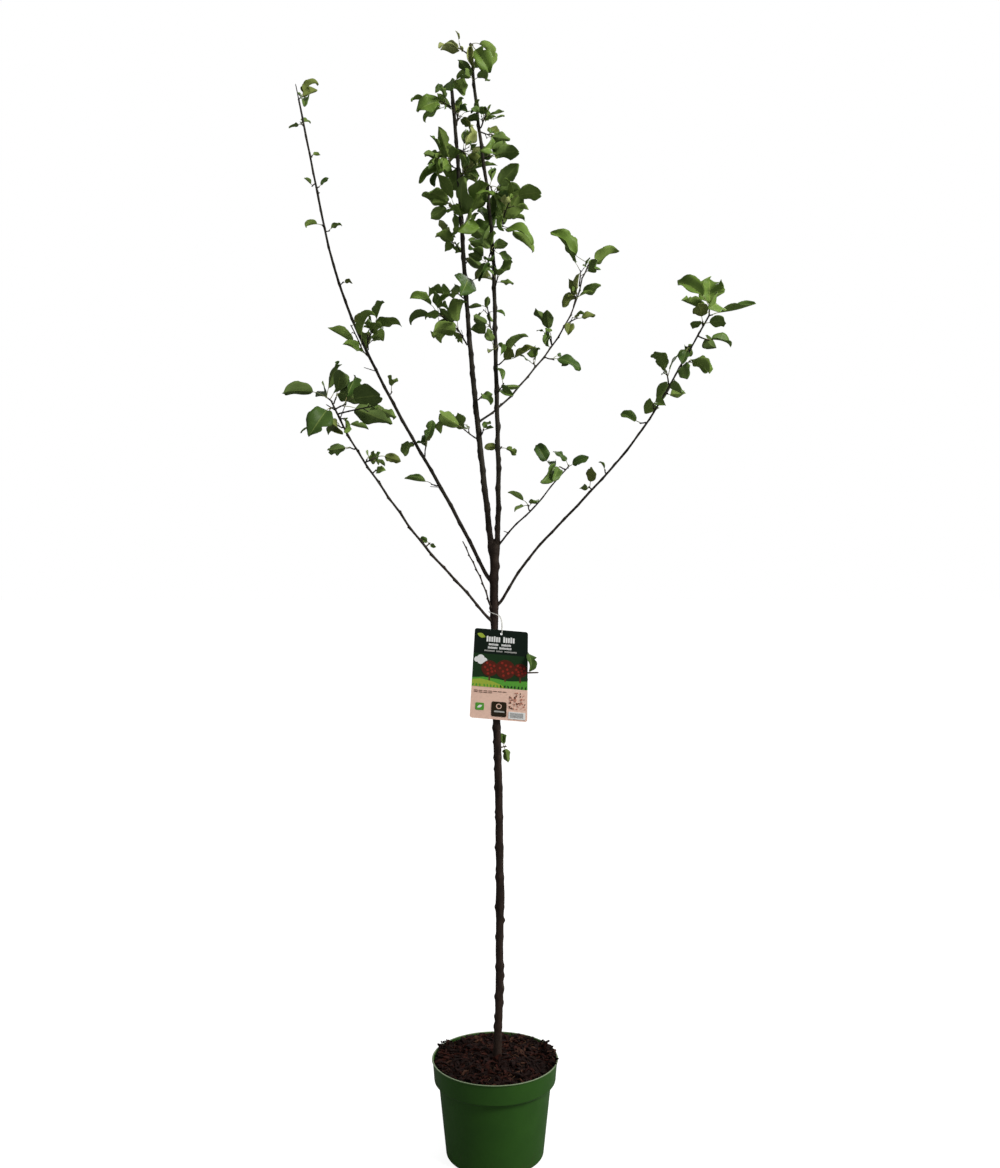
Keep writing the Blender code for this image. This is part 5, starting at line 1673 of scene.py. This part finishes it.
def add_crumbs(heap, dice):
    for _ in range(CRUMBS):
        x, y = strewn(dice, CRUMB_REACH)
        size = dice.uniform(*CRUMB_RADIUS)
        place = Vector((x, y, soil_height(x, y) + size * dice.uniform(*CRUMB_RISE)))
        heap.add(*crumb_form(place, size, dice), dice.choice((0, 0, 0, 1)))


def add_fibres(heap, dice):
    """Bent fibres that follow the soil's top. One that meets the wall ends there."""
    edge = soil_edge()
    for _ in range(FIBRES):
        x, y = strewn(dice, FIBRE_PLACE)
        heading = dice.uniform(0, 2 * pi)
        length = dice.uniform(*FIBRE_LENGTH)
        bend = dice.uniform(-FIBRE_BEND, FIBRE_BEND)
        thick = dice.uniform(*FIBRE_RADIUS)
        points = []
        for step in range(FIBRE_STEPS + 1):
            part = step / FIBRE_STEPS - 0.5
            way = heading + bend * part
            at_x, at_y = x + length * part * cos(way), y + length * part * sin(way)
            if sqrt(at_x * at_x + at_y * at_y) > edge * CHIP_REACH:
                break
            rise = FIBRE_RISE + FIBRE_WAVE[0] * sin(part * FIBRE_WAVE[1])
            points.append(Vector((at_x, at_y, soil_height(at_x, at_y) + rise)))
        if len(points) > FIBRE_STEPS / 2:
            finish = 1 if dice.random() < STRAW_SHARE else 0
            heap.add(*tube(points, [thick] * len(points), FIBRE_SIDES), finish)


def make_mulch(materials):
    """Bark chips, crumbs and fibres strewn over the soil, some heaped against the rim."""
    dice = Random(MULCH_SEED)
    chips = Heap()
    add_chips(chips, dice)
    add_crumbs(chips, dice)
    dress(chips.piece("bark_chips", materials[:3], smooth=False), "soil")
    fibres = Heap()
    add_fibres(fibres, dice)
    dress(fibres.piece("soil_fibres", materials[3:]), "soil")


# ---- tag and string ----

TAG_TOP = (0.0108, -0.0112, 0.8688)
TAG_FOOT = (0.0057, -0.0112, 0.7198)
TAG_TOP_WIDTH = 0.088
TAG_FOOT_WIDTH = 0.0955
TAG_THICKNESS = 0.0006
TAG_HOLE_RADIUS = 0.0019
TAG_HOLE_DROP = 0.0066
TAG_HOLE_SIDES = 32
TAG_HEIGHT = TAG_TOP[2] - TAG_FOOT[2]
TAG_TALL = TAG_HEIGHT / (TAG_TOP_WIDTH / 2)  # in half widths
TAG_ROUND = 0.09  # of its corners, in half widths
CORNER_STEPS = 8
INK = 0.00006  # how far one layer of print stands on the card
INK_STEP = 0.06  # share of a layer between one form and the next
TAG_SLOPE = 0.082  # the tag hangs a little askew, its right side lower
TAG_HOLE_DEPTHS = (-0.003, 0.004)  # how far the cutter of its hole reaches to the front and the back

# the print, in shares of the tag: across -1 to 1 from its left edge, down 0 to 1 from its top
HEAD_FOOT = 0.275
BAND_FOOT = 0.645
LEAF_SPOT_WIDTH = 0.24  # half of a small leaf's width, as a share of its length
# rows of dashes: top, height, pitch, ink, stretches
HEAD_DASHES = (
    (0.083, 0.056, 0.088, "white", ((-0.54, -0.01), (0.08, 0.5))),
    (0.159, 0.021, 0.045, "white", ((-0.45, -0.09), (0.02, 0.36))),
    (0.195, 0.021, 0.045, "white", ((-0.48, -0.14), (-0.05, 0.4))),
    (0.233, 0.015, 0.038, "grey", ((-0.6, -0.22), (-0.16, 0.08), (0.14, 0.58))),
)
# the outline of each stretch of ground after the band's lower left corner, and its ink
GROUND = (
    (((-1, 0.548), (-0.6, 0.535), (-0.1, 0.548), (0.3, 0.565), (1, 0.55), (1, BAND_FOOT)), "leaf green"),
    (((-1, 0.57), (-0.7, 0.555), (-0.3, 0.575), (0.05, 0.61), (0.2, BAND_FOOT)), "lime"),
)
CLOUD = ((-0.86, 0.345, 0.1), (-0.72, 0.33, 0.14), (-0.58, 0.35, 0.1), (-0.72, 0.36, 0.12))
ORCHARD_HEIGHT = 0.435
ORCHARD_TREES = ((-0.38, 0.3), (0.19, 0.36), (0.73, 0.26))  # place across, size
FRUITS = 9
TUFTS = 16
FOOT_DASHES = ((0.685, 7), (0.703, 4))  # height, number
STROKES = 13
SPRIGS = 46

STRING_RADIUS = 0.0007
STRING_POINTS = 220
STRING_SIDES = 8
STRING_TWISTS = 34
PLY_SHARE = 0.56
# the string's loop: out of the hole, up and round behind the trunk, over its front and down again
STRING_ROUTE = (
    (0.0112, -0.0131, 0.8622),
    (0.0118, -0.0128, 0.869),
    (0.0124, -0.0095, 0.879),
    (0.01, 0.0, 0.889),
    (0.005, 0.0082, 0.8935),
    (-0.003, 0.0095, 0.8965),
    (-0.0098, 0.0045, 0.8985),
    (-0.0098, -0.0045, 0.8985),
    (-0.0035, -0.0092, 0.8965),
    (0.004, -0.0092, 0.8935),
    (0.0095, -0.0088, 0.887),
    (0.0108, -0.0086, 0.875),
    (0.0112, -0.009, 0.864),
)


def on_tag(across_share, down_share, layer=0.0):
    """A point on the tag's front. Across runs -1 to 1 from its left edge, and down 0 to 1 from its top."""
    middle = Vector(TAG_TOP).lerp(Vector(TAG_FOOT), down_share)
    width = TAG_TOP_WIDTH + (TAG_FOOT_WIDTH - TAG_TOP_WIDTH) * down_share
    front = -TAG_THICKNESS / 2 - layer
    place = middle + Vector((across_share * width / 2, front, 0))
    place.z -= (place.x - TAG_TOP[0]) * TAG_SLOPE
    return place


def rounded(left, top, right, foot, corners):
    """Outline of a panel on the tag, in shares of it, with each corner rounded by its own share.
    corners go round from the upper left."""
    ways = ((1, 1), (-1, 1), (-1, -1), (1, -1))
    places = ((left, top), (right, top), (right, foot), (left, foot))
    outline = []
    for index, ((x, y), (in_x, in_y), share) in enumerate(zip(places, ways, corners)):
        steps = CORNER_STEPS if share else 0
        for step in range(steps + 1):
            turn = radians(180 + 90 * index + 90 * step / max(steps, 1))
            outline.append((x + share * (in_x + cos(turn)), y + share / TAG_TALL * (in_y + sin(turn))))
    return outline


def block(left, top, right, foot, corner=0):
    """Outline of a block with four like corners."""
    return rounded(left, top, right, foot, (corner,) * 4)


def plate(outline, low_layer, high_layer):
    """Corners and faces of a flat plate of print between two heights over the card."""
    verts = [on_tag(x, y, layer) for layer in (low_layer, high_layer) for x, y in outline]
    return verts, turned_over(tube_faces(2, len(outline)))


def round_spot(x, y, radius, steps=18):
    """Outline of a round spot on the tag. Its radius is a share of half the tag's width."""
    turns = [2 * pi * step / steps for step in range(steps)]
    return [(x + radius * cos(turn), y + radius / TAG_TALL * sin(turn)) for turn in turns]


def leaf_spot(x, y, length, lean, steps=8):
    """Outline of a small pointed leaf on the tag."""
    outline = []
    for way in (1, -1):
        for step in range(steps):
            part = step / steps if way > 0 else 1 - step / steps
            along = (part - 0.5) * length
            wide = way * length * LEAF_SPOT_WIDTH * sin(pi * part)
            turn_x = along * cos(lean) - wide * sin(lean)
            turn_y = along * sin(lean) + wide * cos(lean)
            outline.append((x + turn_x, y + turn_y / TAG_TALL))
    return outline


class Press:
    """Prints forms on the tag, joined into one piece. Each stands a hair above the last, so none
    lies in another's face."""

    def __init__(self, inks):
        self.inks = inks
        self.names = list(inks)
        self.heap = Heap()
        self.layer = 1.0

    def ink(self, outline, name, base=0.0):
        self.layer += INK_STEP
        form = plate(outline, base * INK, (base + self.layer) * INK)
        self.heap.add(*form, self.names.index(name))

    def piece(self, name):
        return self.heap.piece(name, [self.inks[ink] for ink in self.names], smooth=False)


def tag_board(name, outline, low_layer, high_layer, material):
    """A plate of the tag that the string's hole goes through."""
    heap = Heap()
    heap.add(*plate(outline, low_layer, high_layer))
    board = heap.piece(name, [material], smooth=False)
    hole = on_tag(0, TAG_HOLE_DROP / TAG_HEIGHT)
    ends = [hole + Vector((0, depth, 0)) for depth in TAG_HOLE_DEPTHS]
    cutter = Heap()
    cutter.add(*tube(ends, [TAG_HOLE_RADIUS] * 2, TAG_HOLE_SIDES))
    apply_difference(board, cutter.piece("hole_cutter", [], smooth=False))
    return board


def make_tag(card, inks):
    """The hang tag: a white card with a dark head, a picture band of little orchard trees and a
    sand-coloured foot with plain blocks. inks are materials by name."""
    board = tag_board("tag_card", block(-1, 0, 1, 1, TAG_ROUND), -TAG_THICKNESS, 0.0, card)
    head_form = rounded(-1, 0, 1, HEAD_FOOT, (TAG_ROUND, TAG_ROUND, 0, 0))
    head = tag_board("tag_head", head_form, 0.0, INK, inks["black green"])
    dress(board, "tag_card", "tag")
    dress(head, "tag_card")
    press = Press(inks)
    press.ink(block(-1, HEAD_FOOT, 1, BAND_FOOT), "deep green")
    press.ink(rounded(-1, BAND_FOOT, 1, 1, (0, 0, TAG_ROUND, TAG_ROUND)), "sand")
    draw_head(press)
    draw_orchard(press)
    draw_foot(press)
    dress(press.piece("tag_print"), "tag_card")


def draw_head(press):
    """A small leaf and rows of plain pale dashes."""
    press.ink(leaf_spot(-0.74, 0.075, 0.34, 0.35), "lime", 1)
    for top, tall, pitch, name, rows in HEAD_DASHES:
        for left, right in rows:
            for dash in range(round((right - left) / pitch)):
                start = left + dash * pitch
                high = top + tall * (0.0 if dash % 3 else -0.12)
                press.ink(block(start, high, start + pitch * 0.74, top + tall, pitch * 0.15), name, 1)


def draw_orchard(press):
    """Round-headed little trees, red with fruit, on light green ground under a pale cloud."""
    for outline, name in GROUND:
        press.ink([(-1, BAND_FOOT), *outline], name)
    for spot in CLOUD:
        press.ink(round_spot(*spot), "white")
    for x, size in ORCHARD_TREES:
        press.ink(block(x - 0.03, ORCHARD_HEIGHT, x + 0.03, 0.572), "brown")
        press.ink(round_spot(x, ORCHARD_HEIGHT, size, 26), "dark red")
        for fruit in range(FRUITS):
            away = size * 0.8 * sqrt((fruit + 0.5) / FRUITS)
            fruit_x, fruit_y = polar(away, fruit * radians(GOLDEN_TURN))
            press.ink(round_spot(x + fruit_x, ORCHARD_HEIGHT + fruit_y / TAG_TALL, 0.045, 12), "red")
    dice = Random(8)
    for tuft in range(TUFTS):
        x = -0.94 + tuft * 0.125 + dice.uniform(-0.02, 0.02)
        green = "deep green" if x > 0 else "leaf green"
        press.ink(leaf_spot(x, 0.628, 0.13, dice.uniform(1.0, 2.1)), green)


def draw_foot(press):
    """Short dashes, a green block, a dark block with a ring and a bar, and a pale patch with strokes."""
    for row, dashes in FOOT_DASHES:
        for dash in range(dashes):
            left = -0.9 + dash * 0.17
            press.ink(block(left, row, left + 0.13, row + 0.006), "brown", 1)
    press.ink(block(-0.82, 0.825, -0.52, 0.905, 0.03), "leaf green", 1)
    press.ink(leaf_spot(-0.67, 0.865, 0.2, -0.5), "white", 1)
    press.ink(block(-0.26, 0.8, 0.27, 0.965, 0.06), "dark brown", 1)
    press.ink(block(-0.16, 0.9, 0.2, 0.917, 0.01), "grey", 1)
    for radius, name in ((0.1, "sand"), (0.07, "dark brown")):
        press.ink(round_spot(0.0, 0.85, radius), name, 1)
    press.ink(block(0.34, 0.9, 0.93, 0.98, 0.02), "white", 1)
    for stroke in range(STROKES):
        left = 0.4 + stroke * 0.036
        press.ink(block(left, 0.912, left + 0.016, 0.966), "dark brown", 1)
    dice = Random(12)
    for sprig in range(SPRIGS):
        x, y = dice.uniform(0.36, 0.92), dice.uniform(0.685, 0.875)
        name = "faded red" if sprig % 3 else "brown"
        press.ink(leaf_spot(x, y, dice.uniform(0.06, 0.11), dice.uniform(0, 2 * pi), 4), name, 1)


def smooth_loop(route, count):
    """Points evenly spaced in parameter on a smooth closed curve through the route."""
    points = [Vector(point) for point in route]
    total = len(points)
    smooth = []
    for step in range(count):
        place = step / count * total
        low = int(place)
        t = place - low
        a, b, c, d = (points[(low + shift) % total] for shift in (-1, 0, 1, 2))
        square = 2 * a - 5 * b + 4 * c - d
        cube = 3 * b - a - 3 * c + d
        smooth.append(0.5 * (2 * b + (c - a) * t + square * t**2 + cube * t**3))
    return smooth


def loop_frames(route):
    """At each point of a closed loop: its place and two vectors across. Also the turn between the
    last pair and the first, which is shared out along the loop."""
    normal = first = across((route[1] - route[-1]).normalized(), UP)
    frames = []
    for place, point in enumerate(route):
        axis = (route[(place + 1) % len(route)] - route[place - 1]).normalized()
        normal = across(axis, normal)
        frames.append((point, normal, axis.cross(normal)))
    _, normal, binormal = frames[-1]
    return frames, atan2(first.dot(binormal), first.dot(normal))


def make_string(material):
    """The tag's white string: two plies twisted together into one closed loop."""
    frames, left_over = loop_frames(smooth_loop(STRING_ROUTE, STRING_POINTS))
    lift = STRING_RADIUS * (1 - PLY_SHARE)
    heap = Heap()
    for ply in (0, pi):
        verts = []
        for place, (point, normal, binormal) in enumerate(frames):
            part = place / STRING_POINTS
            turn = ply + 2 * pi * STRING_TWISTS * part + left_over * part
            middle = point + (normal * cos(turn) + binormal * sin(turn)) * lift
            for side in range(STRING_SIDES):
                turn = 2 * pi * side / STRING_SIDES + left_over * part
                outward = normal * cos(turn) + binormal * sin(turn)
                verts.append(middle + outward * STRING_RADIUS * PLY_SHARE)
        _, _, *skin = tube_faces(STRING_POINTS + 1, STRING_SIDES)
        heap.add(verts, [tuple(corner % len(verts) for corner in face) for face in skin])
    dress(heap.piece("tag_twine", [material]), "string", "tag_string")


# ---- floor, light and camera ----

FLOOR_REACH = 60.0
FLOOR_HEIGHT = -0.0002
FLOOR_COLOUR = (0.26, 0.26, 0.26)
FLOOR_ROUGHNESS = 0.9
FLOOR_LIFT = (0.9, 1.0)  # glow of the floor near the pot and far away, so that it runs into white
FLOOR_LIFT_REACH = (0.35, 2.2)
WHITE = (1.0, 1.0, 1.0)
SKY_LIGHT = 0.3
# soft lights: name, place, aim, width, height, power, colour
LIGHTS = (
    ("key softbox", (2.9, -2.0, 3.4), (0.0, 0.0, 1.0), 1.5, 1.5, 195.0, (1.0, 0.98, 0.93)),
    ("fill softbox", (-2.6, -3.0, 1.8), (0.0, 0.0, 0.9), 2.2, 2.2, 12.0, (0.95, 0.98, 1.0)),
    ("side softbox", (3.4, -0.6, 0.7), (0.0, 0.0, 0.25), 1.2, 1.0, 22.0, WHITE),
    ("back softbox", (0.5, 3.0, 3.2), (0.0, 0.0, 1.2), 2.4, 1.4, 50.0, WHITE),
)


def floor_finish():
    """Pale and dull. Seen from the camera it glows, so that it runs into the white surround."""
    material, tree, shader = new_material("pale floor", 0.0)
    shader.inputs["Roughness"].default_value = FLOOR_ROUGHNESS
    shader.inputs["Base Color"].default_value = (*FLOOR_COLOUR, 1)
    shader.inputs["Emission Color"].default_value = (*WHITE, 1)
    seen = add_node(tree, "ShaderNodeLightPath").outputs["Is Camera Ray"]
    place = add_node(tree, "ShaderNodeTexCoord").outputs["Object"]
    away = add_node(tree, "ShaderNodeVectorMath", {0: place}, operation="LENGTH").outputs["Value"]
    glow = add_node(tree, "ShaderNodeMapRange",
                    {"Value": away, "From Min": FLOOR_LIFT_REACH[0], "From Max": FLOOR_LIFT_REACH[1],
                     "To Min": FLOOR_LIFT[0], "To Max": FLOOR_LIFT[1]}, interpolation_type="SMOOTHSTEP")
    lift = worked_out(tree, "MULTIPLY", seen, glow.outputs[0])
    tree.links.new(lift, shader.inputs["Emission Strength"])
    return material


def make_floor():
    corners = [(x * FLOOR_REACH, y * FLOOR_REACH, FLOOR_HEIGHT)
               for x, y in ((-1, -1), (1, -1), (1, 1), (-1, 1))]
    floor = Heap()
    floor.add(corners, [(0, 1, 2, 3)])
    material = floor_finish()
    floor.piece("floor", [material], smooth=False)


def make_surround():
    """White where the camera sees it, and a dimmer light for everything else."""
    world = bpy.data.worlds.new("white surround")
    bpy.context.scene.world = world
    world.use_nodes = True
    tree = world.node_tree
    background = tree.nodes["Background"]
    background.inputs["Color"].default_value = (*WHITE, 1)
    seen = add_node(tree, "ShaderNodeLightPath").outputs["Is Camera Ray"]
    strength = add_node(tree, "ShaderNodeMapRange", {"Value": seen, "To Min": SKY_LIGHT, "To Max": 1.0})
    tree.links.new(strength.outputs[0], background.inputs["Strength"])


def make_lights():
    for name, place, aim, width, height, power, colour in LIGHTS:
        light = bpy.data.lights.new(name, "AREA")
        light.shape = "RECTANGLE"
        light.size = width
        light.size_y = height
        light.energy = power
        light.color = colour
        lamp = put_in_scene(name, light)
        lamp.location = place
        lamp.rotation_euler = (Vector(aim) - Vector(place)).to_track_quat("-Z", "Y").to_euler()


def make_camera():
    lens = bpy.data.cameras.new("camera")
    lens.lens = FOCAL_PIXELS / PICTURE_HEIGHT * SENSOR
    lens.sensor_width = SENSOR
    lens.clip_end = CLIP_END
    camera = put_in_scene("camera", lens)
    camera.location = EYE
    camera.rotation_euler = (pi / 2, 0, 0)
    bpy.context.scene.camera = camera
    bpy.context.scene.view_settings.view_transform = "Standard"


# ---- the whole tree ----

# barks: name, two browns, the pores' colour, how close the pores are
BARKS = {
    "trunk": ("trunk bark", (0.03, 0.018, 0.0135), (0.0135, 0.0085, 0.007), (0.07, 0.058, 0.04), 330.0),
    "bough": ("bough bark", (0.04, 0.031, 0.0235), (0.028, 0.0215, 0.0165), (0.09, 0.075, 0.055), 520.0),
    "twig": ("twig bark", (0.1, 0.08, 0.048), (0.055, 0.04, 0.024), (0.14, 0.12, 0.08), 700.0),
    "bud": ("bud scales", (0.05, 0.03, 0.02), (0.022, 0.014, 0.01), (0.12, 0.1, 0.08), 900.0),
}
LEAF_STALK_TINT = ((0.2, 0.24, 0.09), (0.19, 0.14, 0.07))
TWINE_TINT = ((0.7, 0.7, 0.66), (0.55, 0.55, 0.52))
SOIL_TINT = ((0.0078, 0.003, 0.002), (0.004, 0.0016, 0.0011))
MULCH_TINTS = {
    "dark bark chip": ((0.0125, 0.0042, 0.003), (0.0054, 0.0021, 0.0016)),
    "red bark chip": ((0.036, 0.0092, 0.0056), (0.018, 0.0048, 0.0032)),
    "tan bark chip": ((0.07, 0.031, 0.018), (0.034, 0.014, 0.0085)),
    "dark fibre": ((0.024, 0.009, 0.006), (0.012, 0.005, 0.003)),
    "straw fibre": ((0.14, 0.075, 0.04), (0.07, 0.035, 0.02)),
}
CARD = (0.7, 0.69, 0.66)
INKS = {
    "black green": (0.006, 0.012, 0.008),
    "deep green": (0.012, 0.035, 0.012),
    "leaf green": (0.09, 0.32, 0.04),
    "lime": (0.32, 0.42, 0.05),
    "red": (0.26, 0.026, 0.016),
    "dark red": (0.085, 0.017, 0.01),
    "faded red": (0.5, 0.22, 0.16),
    "brown": (0.1, 0.035, 0.02),
    "dark brown": (0.022, 0.016, 0.008),
    "sand": (0.78, 0.53, 0.43),
    "white": (0.75, 0.76, 0.76),
    "grey": (0.4, 0.4, 0.38),
}


def make_stage():
    make_floor()
    make_surround()
    make_lights()
    make_camera()


def make_potful():
    make_pot(pot_finish())
    make_soil(plain_finish("soil", *SOIL_TINT, EARTH, EARTH_ROUGHNESS))
    make_mulch([plain_finish(name, *tint, EARTH, EARTH_ROUGHNESS) for name, tint in MULCH_TINTS.items()])


def make_tree():
    lines, feet = limb_lines(trunk_line())
    barks = {name: bark_finish(*values) for name, values in BARKS.items()}
    stalk = plain_finish("leaf stalk", *LEAF_STALK_TINT, LEAF_FACE, (0.5, 0.62))
    for name in lines:
        old = name == "trunk" or name.startswith("leader")
        make_bark(name, lines, feet, barks["trunk" if old else "bough"])
    make_buds(lines, barks["bud"])
    leaves = {tint: leaf_trio(tint) for tint in LEAF_TINTS}
    make_sprays(lines, [barks["twig"], barks["bud"]], stalk, leaves)


def make_label():
    card = print_finish("white card", CARD, (0.5, 0.58))
    make_tag(card, {name: print_finish(name + " ink", colour) for name, colour in INKS.items()})
    make_string(plain_finish("white twine", *TWINE_TINT, LEAF_FACE, (0.85, 0.97)))


make_stage()
make_potful()
make_tree()
make_label()
